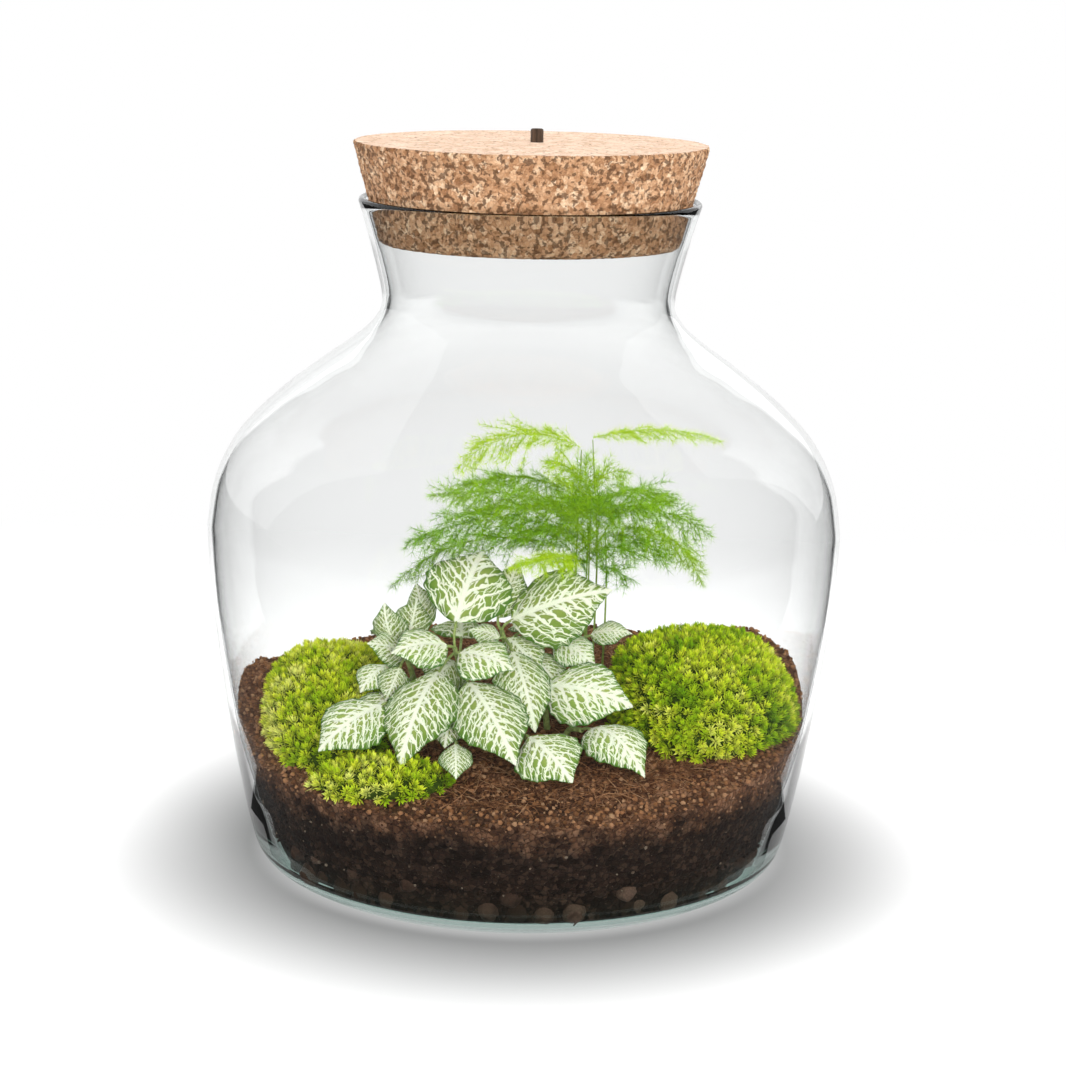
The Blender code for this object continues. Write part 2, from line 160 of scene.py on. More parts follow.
# ---- nerve plant: base, tip, width, arch, facing and how pale each leaf is ----
NERVE_LEAVES = {
    "nerve_leaf_crown_back": ((-26, -27, 97), (-16, -5, 122), 33, 8, (-0.1, -1, 0.5), 0.35),
    "nerve_leaf_crown_left": ((-28, -31, 90), (-50, -42, 90), 20, 4, (0, -0.7, 1), 0.9),
    "nerve_leaf_crown_right": ((-25, -34, 88), (-3, -47, 86), 21, 4, (0, -0.7, 1), 0.9),
    "nerve_leaf_front_left": ((-31, -36, 82), (-44, -77, 56), 27, 7, (-0.2, -0.7, 1), 0.3),
    "nerve_leaf_front_centre": ((-21, -40, 79), (-1, -82, 59), 27, 6, (0, -0.7, 1), 0.35),
    "nerve_leaf_right_high": ((-6, -19, 97), (35, -24, 112), 31, 4, (-0.1, -1, 0.9), 0.25),
    "nerve_leaf_middle_high": ((-10, -16, 97), (-2, -4, 118), 15, 2, (0, -1, 0.5), 0.3),
    "nerve_leaf_middle_small": ((-8, -22, 91), (-21, -21, 94), 11, 2, (0, -0.6, 1), 0.9),
    "nerve_leaf_middle_front": ((-4, -26, 88), (6, -57, 64), 21, 5, (0.1, -0.8, 1), 0.35),
    "nerve_leaf_right_low": ((8, -37, 76), (43, -53, 74), 27, 6, (0, -1, 1), 0.8),
    "nerve_leaf_right_folded": ((13, -18, 90), (29, -33, 84), 15, 3, (-0.2, -0.7, 1), 1.0),
    "nerve_leaf_right_back": ((27, -4, 88), (44, -10, 91), 11, 3, (-0.2, -0.8, 1), 1.0),
    "nerve_leaf_left_tall": ((-49, -20, 86), (-54, -23, 105), 14, 3, (-0.4, -1, 0.3), 0.0),
    "nerve_leaf_left_inner": ((-45, -15, 88), (-42, -8, 103), 14, 2, (0.1, -1, 0.4), 0.0),
    "nerve_leaf_left_behind": ((-38, -9, 90), (-43, 1, 107), 11, 2, (0, -1, 0.4), 0.4),
    "nerve_leaf_left_low": ((-52, -27, 81), (-62, -40, 73), 15, 3, (-0.2, -0.8, 1), 0.8),
    "nerve_leaf_left_under": ((-47, -32, 82), (-52, -44, 71), 12, 2, (0.3, -0.8, 1), 0.2),
    "nerve_leaf_far_left": ((-52, -51, 72), (-75, -70, 59), 24, 5, (-0.1, -0.8, 1), 0.7),
    "nerve_leaf_bottom_centre": ((3, -65, 65), (20, -88, 55), 25, 4, (0.1, -1, 1), 0.5),
    "nerve_leaf_bottom_right": ((26, -52, 64), (47, -78, 54), 23, 8, (0.3, -0.8, 1), 0.7),
    "nerve_leaf_bottom_left": ((-24, -66, 62), (-23, -84, 54), 12, 2, (0, -0.8, 1), 0.3),
    "nerve_leaf_rear_left": ((-40, -8, 84), (-62, 14, 82), 22, 5, (-0.2, 0.6, 1), 0.4),
    "nerve_leaf_rear_centre": ((-24, -14, 88), (-26, 20, 82), 22, 6, (0, 0.7, 1), 0.4),
    "nerve_leaf_rear_right": ((0, -9, 90), (9, 14, 84), 18, 5, (0.1, 0.7, 1), 0.6),
}
NERVE_FILL = (
    ((-26, -14, 79), (-36, -36, 76), 20, 3, (0, -1, 0.6), 0.3),
    ((-6, -16, 90), (8, -31, 80), 17, 3, (0, -0.9, 0.8), 0.3),
    ((2, -18, 84), (16, -37, 75), 17, 3, (0.1, -0.9, 0.8), 0.2),
    ((-44, -22, 84), (-60, -32, 91), 14, 2, (-0.1, -0.9, 0.8), 0.6),
    ((-48, -36, 72), (-62, -54, 63), 17, 3, (-0.1, -0.9, 1), 0.3),
    ((-26, -46, 70), (-28, -66, 60), 16, 3, (0, -0.8, 1), 0.2),
)
LEAF_THICKNESS = 0.5
LEAF_CURL = 0.3
LEAF_START = 0.04
LEAF_SPREAD = 1.08
VEIN_SPACING, VEIN_SLANT, VEIN_BEND = 0.31, 0.78, 0.22
MAIN_VEIN, NET_VEIN = 0.138, 0.085
NERVE_STEMS = {
    "nerve_stem_crown": ((-25, -22), (-24, -25, 78), (-26, -29, 89)),
    "nerve_stem_middle": ((-6, -10), (-5, -14, 80), (-8, -17, 93)),
    "nerve_stem_right": ((11, -26), (9, -30, 68), (6, -35, 73)),
    "nerve_stem_left": ((-39, -16), (-43, -17, 74), (-46, -18, 83)),
    "nerve_stem_trailing": ((17, -40), (19, -44, 61), (24, -50, 63)),
}

# ---- fern: base, tip, width, arch, facing, how young each frond is and how far its twigs leave its plane ----
FERN_FRONDS = {
    "fern_frond_top_left": ((22, 19, 160), (-27, 9, 152), 26, 11, (0, -0.3, 1), 1.0, 0.28),
    "fern_frond_top_right": ((27, 21, 164), (79, 25, 163), 14, 4, (0.1, -0.1, 1), 1.0, 0.15),
    "fern_frond_upright": ((27, 15, 141), (24, 14, 157), 12, 1, (0, -1, 0.1), 0.7, 0.8),
    "fern_frond_left_high": ((17, 12, 137), (-37, -2, 144), 26, 4, (0, -0.2, 1), 0.4, 0.8),
    "fern_frond_left_mid": ((20, 15, 126), (-47, 4, 123), 34, 8, (0, -0.1, 1), 0.25, 0.9),
    "fern_frond_left_low": ((16, 19, 119), (-55, 28, 98), 24, 11, (-0.1, 0.1, 1), 0.3, 0.75),
    "fern_frond_front": ((21, -2, 120), (-4, -38, 123), 16, 2, (0, -0.1, 1), 0.9, 0.35),
    "fern_frond_right_high": ((35, 13, 136), (75, -3, 130), 24, 5, (0.1, -0.2, 1), 0.35, 0.9),
    "fern_frond_right_mid": ((33, 19, 127), (74, 32, 101), 28, 10, (0.2, 0, 1), 0.6, 0.7),
    "fern_frond_back": ((27, 32, 128), (28, 80, 122), 28, 7, (0, 0.1, 1), 0.3, 0.6),
    "fern_frond_back_left": ((19, 30, 140), (-30, 58, 134), 26, 6, (0, 0.1, 1), 0.35, 0.7),
    "fern_frond_back_right": ((33, 27, 138), (62, 62, 128), 24, 6, (0.1, 0.1, 1), 0.35, 0.7),
}
FERN_FILL = (
    ((24, 18, 122), (-4, 8, 126), 22, 3, (0, 0, 1), 0.3, 0.9),
    ((28, 16, 118), (48, 2, 119), 20, 3, (0, 0, 1), 0.25, 0.9),
    ((26, 16, 134), (4, 6, 140), 20, 3, (0, -0.1, 1), 0.4, 1.0),
    ((30, 16, 133), (54, 4, 139), 20, 3, (0, -0.1, 1), 0.35, 1.0),
    ((24, 18, 147), (8, 12, 155), 15, 2, (0, -0.2, 1), 0.8, 0.8),
    ((27, 18, 146), (42, 14, 152), 13, 2, (0, -0.2, 1), 0.7, 0.8),
    ((26, 20, 112), (14, 8, 110), 18, 3, (0, 0, 1), 0.15, 1.0),
    ((32, 18, 124), (60, 12, 115), 20, 4, (0, 0, 1), 0.3, 0.9),
    ((30, 14, 112), (44, 6, 108), 16, 2, (0, 0, 1), 0.2, 0.9),
    ((22, 16, 132), (-30, 2, 133), 24, 5, (0, 0, 1), 0.35, 1.0),
    ((26, 16, 112), (25, 14, 158), 21, 1, (0, -1, 0), 0.45, 1.4),
    ((30, 18, 110), (29, 17, 150), 19, 1, (0, -1, 0), 0.3, 1.4),
    ((21, 20, 112), (20, 17, 146), 19, 1, (0, -1, 0), 0.3, 1.4),
)
FERN_STEMS = {
    "fern_stem_top_left": ((22, 22), (21.5, 20.5, 110), (22.5, 19, 159)),
    "fern_stem_top_right": ((29, 23), (30, 22, 115), (27, 21, 163)),
    "fern_stem_upright": ((26, 17), (26.5, 15, 100), (27, 15, 141)),
    "fern_stem_right": ((33, 18), (34, 18, 100), (33, 19, 127)),
    "fern_stem_back": ((26, 27), (26, 30, 98), (27, 31, 128)),
    "fern_stem_left": ((18, 17), (18, 17, 92), (16, 19, 119)),
}

# ---- floor, lights and camera, in metres but for the floor under the jar ----
# The sweep starts this far behind the axis, in millimetres; the plain floor lies in front of that line.
BACK_FLOOR = 15.0
BRIGHT_REACH, BRIGHT_SPREAD, BRIGHT_LIMIT = 0.15, 0.48, 2.0
STAGE_REACH = 4.0
DISC_SIDES, DISC_REACH, DISC_WIDER = 96, 112.0, 16.0
# Painted shadow: round the jar's foot the floor's paleness is cut to this share, between these radii in metres.
FOOT_PAINTED_SHADOW, PAINTED_SHADOW_START, PAINTED_SHADOW_END = 0.42, 0.1, 0.21
# Painted light: the floor right under the jar's foot glows this much and is darker in colour by the same share, so
# the heel shows it lit.
FOOT_GLOW, FOOT_GLOW_START, FOOT_GLOW_END = 0.35, 0.1, 0.111
CAMERA_PLACE, CAMERA_TILT, CAMERA_ROLL = (0.0036, -0.9343, 0.3475), 90.0 - 13.18, 1.18
LIGHTS_AIM = (0.0, 0.0, 0.15)
# name, place, size, the setting it takes its brightness from, its share of that, roll, mirrored by the jar
SOFTBOXES = (
    ("softbox_left", (-0.85, 0.55, 0.75), (1.25, 1.4), "side_light", 1.0, 0.0, True),
    ("softbox_right", (0.85, 0.9, 0.85), (1.2, 1.7), "side_light", 1.0, 20.0, True),
    ("soft_front", (0.35, -1.5, 0.62), (1.3, 1.0), "front_light", 1.0, 0.0, False),
    ("soft_left", (-1.4, -0.3, 0.5), (0.9, 0.9), "fill_light", 1.0, 0.0, False),
    ("soft_right", (1.4, -0.3, 0.5), (0.9, 0.9), "fill_light", 0.7, 0.0, False),
    ("soft_top", (0.1, 0.2, 1.45), (1.2, 1.2), "top_light", 1.0, 0.0, False),
)


# ---- small helpers ----
def smooth_through(points, steps):
    """Points on a Catmull-Rom curve through the given ones, with this many steps between each two."""
    known = [np.array(p, float) for p in points]
    known = [2 * known[0] - known[1], *known, 2 * known[-1] - known[-2]]
    made = []
    for a, b, c, d in zip(known, known[1:], known[2:], known[3:]):
        for t in np.arange(steps) / steps:
            bend = (2 * a - 5 * b + 4 * c - d) * t**2 + (3 * b - a - 3 * c + d) * t**3
            made.append(0.5 * (2 * b + (c - a) * t + bend))
    return [*made, known[-2]]


def smoothstep(low, high, value):
    t = min(max((value - low) / (high - low), 0.0), 1.0)
    return t * t * (3 - 2 * t)


def add_mesh(name, points, faces, finishes=(), smooth=True):
    """A mesh object at the origin from points in millimetres."""
    mesh = bpy.data.meshes.new(name)
    mesh.from_pydata([tuple(c * MM for c in p) for p in points], [], faces)
    return add_object(name, mesh, finishes, smooth)


def add_object(name, mesh, finishes=(), smooth=True):
    obj = bpy.data.objects.new(name, mesh)
    bpy.context.scene.collection.objects.link(obj)
    for finish in finishes:
        mesh.materials.append(finish)
    if smooth:
        mesh.shade_smooth()
    return obj


def finished(obj, slot, *nodes):
    """The piece rides on the terrarium's one body and stands for these CAD nodes. The slot argument is not used."""
    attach(obj, BODY)
    if nodes:
        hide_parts(*nodes)
    return obj


def revolved(name, profile, segments, finishes=()):
    """Turns a profile of (radius, height) round Z. It starts on the axis and may end on it or meet its start."""
    rings, points, faces = [], [], []
    for radius, height in profile:
        if radius < 1e-6:
            rings.append([len(points)])
            points.append((0.0, 0.0, height))
            continue
        rings.append(range(len(points), len(points) + segments))
        for k in range(segments):
            angle = 2 * math.pi * k / segments
            points.append((radius * math.cos(angle), radius * math.sin(angle), height))
    for low, high in zip(rings, rings[1:]):
        for k in range(segments):
            after = (k + 1) % segments
            if len(low) == 1:
                faces.append((low[0], high[after], high[k]))
            elif len(high) == 1:
                faces.append((low[k], low[after], high[0]))
            else:
                faces.append((low[k], low[after], high[after], high[k]))
    return add_mesh(name, points, faces, finishes)


def tube_mesh(routes, sides=8):
    """(points, faces) of closed round tubes. Each route is a list of (centre, radius)."""
    points, faces = [], []
    for route in routes:
        centres = [Vector(c) for c, _ in route]
        first = len(points)
        side = None
        for i, (_, radius) in enumerate(route):
            along = (centres[min(i + 1, len(route) - 1)] - centres[max(i - 1, 0)]).normalized()
            side = side or along.orthogonal()
            side = (side - along * side.dot(along)).normalized()
            other = along.cross(side)
            for k in range(sides):
                angle = 2 * math.pi * k / sides
                points.append(centres[i] + (side * math.cos(angle) + other * math.sin(angle)) * radius)
        for i in range(len(route) - 1):
            for k in range(sides):
                a, b = first + i * sides + k, first + i * sides + (k + 1) % sides
                faces.append((a, b, b + sides, a + sides))
        faces.append(tuple(first + k for k in reversed(range(sides))))
        faces.append(tuple(len(points) - sides + k for k in range(sides)))
    return points, faces


# ---- the jar's inside and the soil's surface ----
def wall_thickness(height):
    return float(np.interp(height, WALL_HEIGHTS, WALL_THICKNESSES))


def jar_outline(steps):
    """(outside, inside) of the wall as lists of (radius, height), both from the rim down."""
    outside = smooth_through(OUTSIDE, steps)
    inside = []
    for before, here, after in zip(outside, outside[1:], outside[2:]):
        along = (after - before) / np.linalg.norm(after - before)
        point = here + np.array((along[1], -along[0])) * wall_thickness(here[1])
        if point[1] > FLOOR_THICKNESS + 5.0:
            inside.append(point)
    return outside, inside


INSIDE = sorted((p[1], p[0]) for p in jar_outline(4)[1] if p[1] < 130.0)


def inner_radius(height):
    """The radius of the jar's inside at this height, below its widest place."""
    return float(np.interp(height, [z for z, _ in INSIDE], [r for _, r in INSIDE]))


def soil_height(x, y):
    height = SOIL_FRONT + (SOIL_BACK - SOIL_FRONT) * (y + 115.0) / 230.0
    for mound_x, mound_y, rise, spread in MOUNDS:
        height += rise * math.exp(-((x - mound_x) ** 2 + (y - mound_y) ** 2) / (2 * spread**2))
    return height


# ---- node helpers ----
def give(tree, socket, value):
    """Sets a socket to a plain value, or links it if the value is a socket."""
    if isinstance(value, bpy.types.NodeSocket):
        tree.links.new(value, socket)
    else:
        socket.default_value = value


def put(tree, kind, inputs=None, **settings):
    """Adds a node. Each input takes a plain value, or a link if it is given a socket."""
    made = tree.nodes.new(kind)
    for key, value in settings.items():
        setattr(made, key, value)
    for key, value in (inputs or {}).items():
        give(tree, made.inputs[key], value)
    return made


def maths(tree, operation, *values):
    return put(tree, "ShaderNodeMath", dict(enumerate(values)), operation=operation).outputs[0]


def plus(tree, first, second):
    return maths(tree, "ADD", first, second)


def minus(tree, first, second):
    return maths(tree, "SUBTRACT", first, second)


def times(tree, first, second):
    return maths(tree, "MULTIPLY", first, second)


def weighted(tree, first, first_share, second, second_share):
    """The sum of two values, each times its share."""
    return plus(tree, times(tree, first, first_share), times(tree, second, second_share))


def height_of(tree, at):
    return put(tree, "ShaderNodeSeparateXYZ", {0: at}).outputs[2]


def vector_maths(tree, operation, *values):
    made = put(tree, "ShaderNodeVectorMath", operation=operation)
    for socket, value in zip(made.inputs, values):
        give(tree, socket, value)
    return made.outputs[0]


def scaled(tree, vector, factor):
    return put(tree, "ShaderNodeVectorMath", {0: vector, "Scale": factor}, operation="SCALE").outputs[0]


def remap(tree, value, low, high, to_low=0.0, to_high=1.0):
    """A smooth step from to_low at low to to_high at high."""
    sockets = {"Value": value, "From Min": low, "From Max": high, "To Min": to_low, "To Max": to_high}
    return put(tree, "ShaderNodeMapRange", sockets, interpolation_type="SMOOTHSTEP").outputs[0]


def mixed(tree, factor, first, second):
    return put(tree, "ShaderNodeMix", {0: factor, 6: first, 7: second}, data_type="RGBA").outputs[2]


def ramp(tree, factor, *stops):
    """Colours at places from 0 to 1."""
    made = put(tree, "ShaderNodeValToRGB", {0: factor})
    elements = made.color_ramp.elements
    while len(elements) < len(stops):
        elements.new(1.0)
    for element, (place, colour) in zip(elements, stops):
        element.position, element.color = place, (*colour, 1.0)
    return made.outputs[0]


def noise_at(tree, vector, scale, detail=3.0, roughness=0.55):
    sockets = {"Vector": vector, "Scale": scale, "Detail": detail, "Roughness": roughness}
    return put(tree, "ShaderNodeTexNoise", sockets).outputs[0]


def place(tree):
    """The point's place on the object, in metres."""
    return put(tree, "ShaderNodeTexCoord").outputs["Object"]


def attribute(tree, name):
    return put(tree, "ShaderNodeAttribute", attribute_name=name).outputs["Fac"]


def new_material(name, roughness=0.5):
    """(material, tree, its Principled shader)"""
    made = bpy.data.materials.new(name)
    made.use_nodes = True
    shader = made.node_tree.nodes["Principled BSDF"]
    shader.inputs["Roughness"].default_value = roughness
    return made, made.node_tree, shader


def feed(tree, shader, **sockets):
    """Links sockets to the shader's inputs, whose names have _ for a space."""
    for name, socket in sockets.items():
        tree.links.new(socket, shader.inputs[name.replace("_", " ")])


def bumped(tree, height, strength, distance):
    sockets = {"Height": height, "Strength": strength, "Distance": distance}
    return put(tree, "ShaderNodeBump", sockets).outputs[0]


def new_group(name, inputs, outputs):
    """A shader node group. inputs and outputs are (name, socket kind) or (name, kind, default)."""
    tree = bpy.data.node_groups.new(name, "ShaderNodeTree")
    for entry in inputs:
        socket = tree.interface.new_socket(entry[0], in_out="INPUT", socket_type="NodeSocket" + entry[1])
        if len(entry) > 2:
            socket.default_value = entry[2]
    for title, kind in outputs:
        tree.interface.new_socket(title, in_out="OUTPUT", socket_type="NodeSocket" + kind)
    return tree, tree.nodes.new("NodeGroupInput").outputs, tree.nodes.new("NodeGroupOutput")


def group_outputs(tree, group, **inputs):
    made = tree.nodes.new("ShaderNodeGroup")
    made.node_tree = group
    for name, value in inputs.items():
        give(tree, made.inputs[name.replace("_", " ")], value)
    return made.outputs


# ---- shared shader groups ----
def granule_group():
    """Pressed or loose grains: a random value for each grain, the dark gaps between them, and their height."""
    kinds = [("Place", "Vector"), ("Grain Size", "Float", 0.003), ("Gap", "Float", 0.1), ("Warp", "Float", 0.4)]
    tree, given, result = new_group("granules", kinds, [("Shade", "Float"), ("Gap", "Float"), ("Height", "Float")])
    per_metre = maths(tree, "DIVIDE", 1.0, given["Grain Size"])
    at = scaled(tree, given["Place"], per_metre)
    bend = put(tree, "ShaderNodeTexNoise", {"Vector": at, "Scale": 1.3, "Detail": 2.0}).outputs["Color"]
    bend = vector_maths(tree, "SUBTRACT", bend, (0.5, 0.5, 0.5))
    at = vector_maths(tree, "ADD", at, scaled(tree, bend, given["Warp"]))
    cells = put(tree, "ShaderNodeTexVoronoi", {"Vector": at, "Scale": 1.0, "Randomness": 1.0})
    edges = put(tree, "ShaderNodeTexVoronoi", {"Vector": at, "Scale": 1.0}, feature="DISTANCE_TO_EDGE").outputs[0]
    shade = put(tree, "ShaderNodeSeparateColor", {0: cells.outputs["Color"]}).outputs[0]
    gap = put(tree, "ShaderNodeMapRange", {"Value": edges, "From Max": given["Gap"], "To Min": 1.0, "To Max": 0.0})
    height = minus(tree, times(tree, shade, 0.5), gap.outputs[0])
    tree.links.new(shade, result.inputs["Shade"])
    tree.links.new(gap.outputs[0], result.inputs["Gap"])
    tree.links.new(height, result.inputs["Height"])
    return tree


def leaf_vein_group():
    """White veins of a nerve plant leaf. Blade is (across, along) in half widths, Margin is 1 at the leaf's edge."""
    kinds = [("Blade", "Vector"), ("Margin", "Float"), ("Spacing", "Float"), ("Breadth", "Float")]
    tree, given, result = new_group("leaf_veins", kinds, [("White", "Float")])
    parts = put(tree, "ShaderNodeSeparateXYZ", {0: given["Blade"]}).outputs
    across, along = maths(tree, "ABSOLUTE", parts[0]), parts[1]
    wander = minus(tree, noise_at(tree, given["Blade"], 2.6, 3.0), 0.5)
    jitter = minus(tree, noise_at(tree, given["Blade"], 9.0, 2.0), 0.5)
    side = maths(tree, "GREATER_THAN", parts[0], 0.0)
    start = minus(tree, along, times(tree, across, VEIN_SLANT))
    start = minus(tree, start, times(tree, times(tree, across, across), VEIN_BEND))
    start = plus(tree, start, times(tree, wander, 0.34))
    start = plus(tree, start, times(tree, jitter, 0.07))
    turn = maths(tree, "DIVIDE", start, given["Spacing"])
    turn = plus(tree, turn, times(tree, side, 0.5))
    off = maths(tree, "ABSOLUTE", minus(tree, maths(tree, "FRACT", turn), 0.5))
    thin = times(tree, minus(tree, 1.0, times(tree, given["Margin"], 0.66)), given["Breadth"])
    main = remap(tree, minus(tree, off, times(tree, thin, MAIN_VEIN)), -0.035, 0.035, 1.0, 0.0)
    # The smaller veins leave the main ones and join into a loose net.
    spot = {0: times(tree, turn, 1.7), 1: times(tree, across, 5.6), 2: side}
    net_at = put(tree, "ShaderNodeCombineXYZ", spot).outputs[0]
    shift = put(tree, "ShaderNodeTexNoise", {"Vector": net_at, "Scale": 0.9, "Detail": 1.0}).outputs["Color"]
    net_at = vector_maths(tree, "ADD", net_at, scaled(tree, shift, 1.1))
    net = put(tree, "ShaderNodeTexVoronoi", {"Vector": net_at, "Scale": 1.0}, feature="DISTANCE_TO_EDGE").outputs[0]
    net = remap(tree, minus(tree, net, times(tree, thin, NET_VEIN)), -0.035, 0.035, 1.0, 0.0)
    rib = remap(tree, across, 0.035, 0.085, 1.0, 0.0)
    white = maths(tree, "MAXIMUM", maths(tree, "MAXIMUM", main, times(tree, net, 0.92)), rib)
    edge = plus(tree, given["Margin"], times(tree, jitter, 0.12))
    rim = remap(tree, edge, 0.93, 1.0, 1.0, 0.0)
    tree.links.new(times(tree, white, rim), result.inputs["White"])
    return tree


# ---- materials ----
def clear_glass():
    """Clear glass with a faint green in its thick parts. Lamp light goes straight through it."""
    made, tree, shader = new_material("clear_glass", 0.0)
    heel = remap(tree, height_of(tree, place(tree)), 0.003, 0.022)
    feed(tree, shader, Base_Color=mixed(tree, heel, (0.74, 0.9, 0.85, 1.0), (1.0, 1.0, 1.0, 1.0)))
    shader.inputs["Transmission Weight"].default_value = 1.0
    shader.inputs["IOR"].default_value = 1.48
    out = tree.nodes["Material Output"]
    lets_through = put(tree, "ShaderNodeBsdfTransparent", {"Color": (0.94, 0.96, 0.95, 1.0)})
    is_shadow = put(tree, "ShaderNodeLightPath").outputs["Is Shadow Ray"]
    both = put(tree, "ShaderNodeMixShader", {0: is_shadow, 1: shader.outputs[0], 2: lets_through.outputs[0]})
    tree.links.new(both.outputs[0], out.inputs["Surface"])
    tint = put(tree, "ShaderNodeVolumeAbsorption", {"Color": (0.25, 0.8, 0.68, 1.0), "Density": 3.5})
    tree.links.new(tint.outputs[0], out.inputs["Volume"])
    return made


def pressed_cork(granules, name, grain, pits, colours):
    made, tree, shader = new_material(name, 0.85)
    at = place(tree)
    big = group_outputs(tree, granules, Place=at, Grain_Size=grain, Gap=0.1, Warp=0.7)
    small = group_outputs(tree, granules, Place=at, Grain_Size=grain * 0.4, Gap=0.16, Warp=0.6)
    mottle = noise_at(tree, at, 260.0, 4.0, 0.6)
    shade = weighted(tree, big["Shade"], 0.55, small["Shade"], 0.25)
    shade = plus(tree, shade, times(tree, mottle, 0.3))
    colour = ramp(tree, shade, (0.15, colours[0]), (0.45, colours[1]), (0.7, colours[2]), (0.95, colours[3]))
    dark = noise_at(tree, at, 520.0, 2.0, 0.5)
    hole = remap(tree, dark, 0.62 - pits, 0.72 - pits)
    seams = maths(tree, "MAXIMUM", big["Gap"], times(tree, small["Gap"], 0.5))
    seams = times(tree, seams, 0.55)
    colour = mixed(tree, times(tree, seams, pits * 4), colour, (0.2, 0.1, 0.05, 1))
    colour = mixed(tree, times(tree, hole, 0.8), colour, (0.1, 0.045, 0.02, 1))
    height = plus(tree, big["Height"], small["Height"])
    height = minus(tree, height, times(tree, hole, 1.5))
    feed(tree, shader, Base_Color=colour, Normal=bumped(tree, height, 0.25 + pits * 3, 0.0006))
    return made


def dark_wood():
    made, tree, shader = new_material("dark_wood", 0.55)
    stretched = put(tree, "ShaderNodeMapping", {"Vector": place(tree), "Scale": (900.0, 900.0, 90.0)}).outputs[0]
    grain = noise_at(tree, stretched, 1.0, 4.0, 0.6)
    colour = ramp(tree, grain, (0.3, (0.018, 0.012, 0.008)), (0.7, (0.09, 0.055, 0.035)))
    feed(tree, shader, Base_Color=colour, Normal=bumped(tree, grain, 0.3, 0.0003))
    return made


def potting_soil(granules, name, redness):
    """Fibrous soil: near black with fine specks where wet, reddish brown where it has dried on top."""
    made, tree, shader = new_material(name, 0.92)
    at = place(tree)
    grains = group_outputs(tree, granules, Place=at, Grain_Size=0.0022, Gap=0.16, Warp=0.9)
    mottle = noise_at(tree, at, 90.0, 5.0, 0.65)
    fine = noise_at(tree, at, 900.0, 3.0, 0.6)
    shade = weighted(tree, grains["Shade"], 0.45, mottle, 0.55)
    wet = ramp(tree, shade, (0.2, (0.008, 0.005, 0.004)), (0.55, (0.03, 0.017, 0.012)), (0.85, (0.085, 0.05, 0.035)))
    dry = ramp(tree, shade, (0.2, (0.09, 0.036, 0.018)), (0.5, (0.27, 0.12, 0.06)), (0.85, (0.44, 0.23, 0.13)))
    height = plus(tree, height_of(tree, at), times(tree, minus(tree, mottle, 0.5), 0.03))
    dryness = times(tree, remap(tree, height, 0.034, 0.056), redness)
    colour = mixed(tree, dryness, wet, dry)
    colour = mixed(tree, times(tree, grains["Gap"], 0.6), colour, (0.006, 0.004, 0.003, 1))
    speck = remap(tree, noise_at(tree, at, 1500.0, 1.0, 0.5), 0.74, 0.78)
    colour = mixed(tree, times(tree, speck, 0.5), colour, (0.35, 0.27, 0.2, 1))
    relief = plus(tree, grains["Height"], fine)
    feed(tree, shader, Base_Color=colour, Normal=bumped(tree, relief, 0.7, 0.0008))
    return made


def soil_crumb():
    """Loose crumbs and fibres: each has its own shade, redder the higher it lies."""
    made, tree, shader = new_material("soil_crumb", 0.9)
    at = place(tree)
    shade = attribute(tree, "shade")
    dry = ramp(tree, shade, *DRY_CRUMB_COLOURS)
    wet = ramp(tree, shade, *WET_CRUMB_COLOURS)
    height = plus(tree, height_of(tree, at), times(tree, minus(tree, shade, 0.5), 0.006))
    colour = mixed(tree, remap(tree, height, 0.037, 0.05), wet, dry)
    grit = noise_at(tree, at, 1200.0, 3.0, 0.6)
    colour = mixed(tree, times(tree, grit, 0.5), colour, (0.02, 0.01, 0.007, 1))
    feed(tree, shader, Base_Color=colour, Normal=bumped(tree, grit, 0.5, 0.0004))
    return made


def fired_clay(granules):
    made, tree, shader = new_material("fired_clay", 0.85)
    at = place(tree)
    shade = attribute(tree, "shade")
    grit = group_outputs(tree, granules, Place=at, Grain_Size=0.0009, Gap=0.2, Warp=0.5)
    dust = noise_at(tree, at, 180.0, 4.0, 0.65)
    base = ramp(tree, shade, (0.0, (0.026, 0.015, 0.01)), (0.6, (0.085, 0.048, 0.034)), (1.0, (0.15, 0.092, 0.066)))
    colour = mixed(tree, remap(tree, dust, 0.45, 0.7, 0.0, 0.75), base, (0.02, 0.012, 0.009, 1))
    colour = mixed(tree, times(tree, grit["Gap"], 0.35), colour, (0.015, 0.008, 0.006, 1))
    relief = plus(tree, grit["Height"], dust)
    feed(tree, shader, Base_Color=colour, Normal=bumped(tree, relief, 0.5, 0.0004))
    return made


def moss_shoot_finish():
    """Yellow-green tips over darker, shaded bases, and painted light that makes the left cushion paler."""
    made, tree, shader = new_material("cushion_moss", 0.6)
    at = place(tree)
    patch = noise_at(tree, at, 45.0, 3.0, 0.6)
    rise = attribute(tree, "rise")
    patch = remap(tree, patch, 0.36, 0.64)
    shade = weighted(tree, attribute(tree, "shade"), 0.45, patch, 0.5)
    across_for_painted_light = put(tree, "ShaderNodeSeparateXYZ", {0: at}).outputs[0]
    # Painted light: the shade is raised towards -X, which makes the left cushion paler.
    shade = plus(tree, shade, remap(tree, across_for_painted_light, -0.065, -0.04, 0.2, 0.0))
    tips = ramp(tree, shade, *MOSS_TIP_COLOURS)
    bases = ramp(tree, shade, (0.2, (0.015, 0.05, 0.002)), (0.9, (0.09, 0.17, 0.006)))
    colour = mixed(tree, remap(tree, rise, 0.1, 0.85), bases, tips)
    feed(tree, shader, Base_Color=colour)
    shader.inputs["Subsurface Weight"].default_value = 0.15
    shader.inputs["Subsurface Radius"].default_value = (0.001, 0.002, 0.0004)
    return made


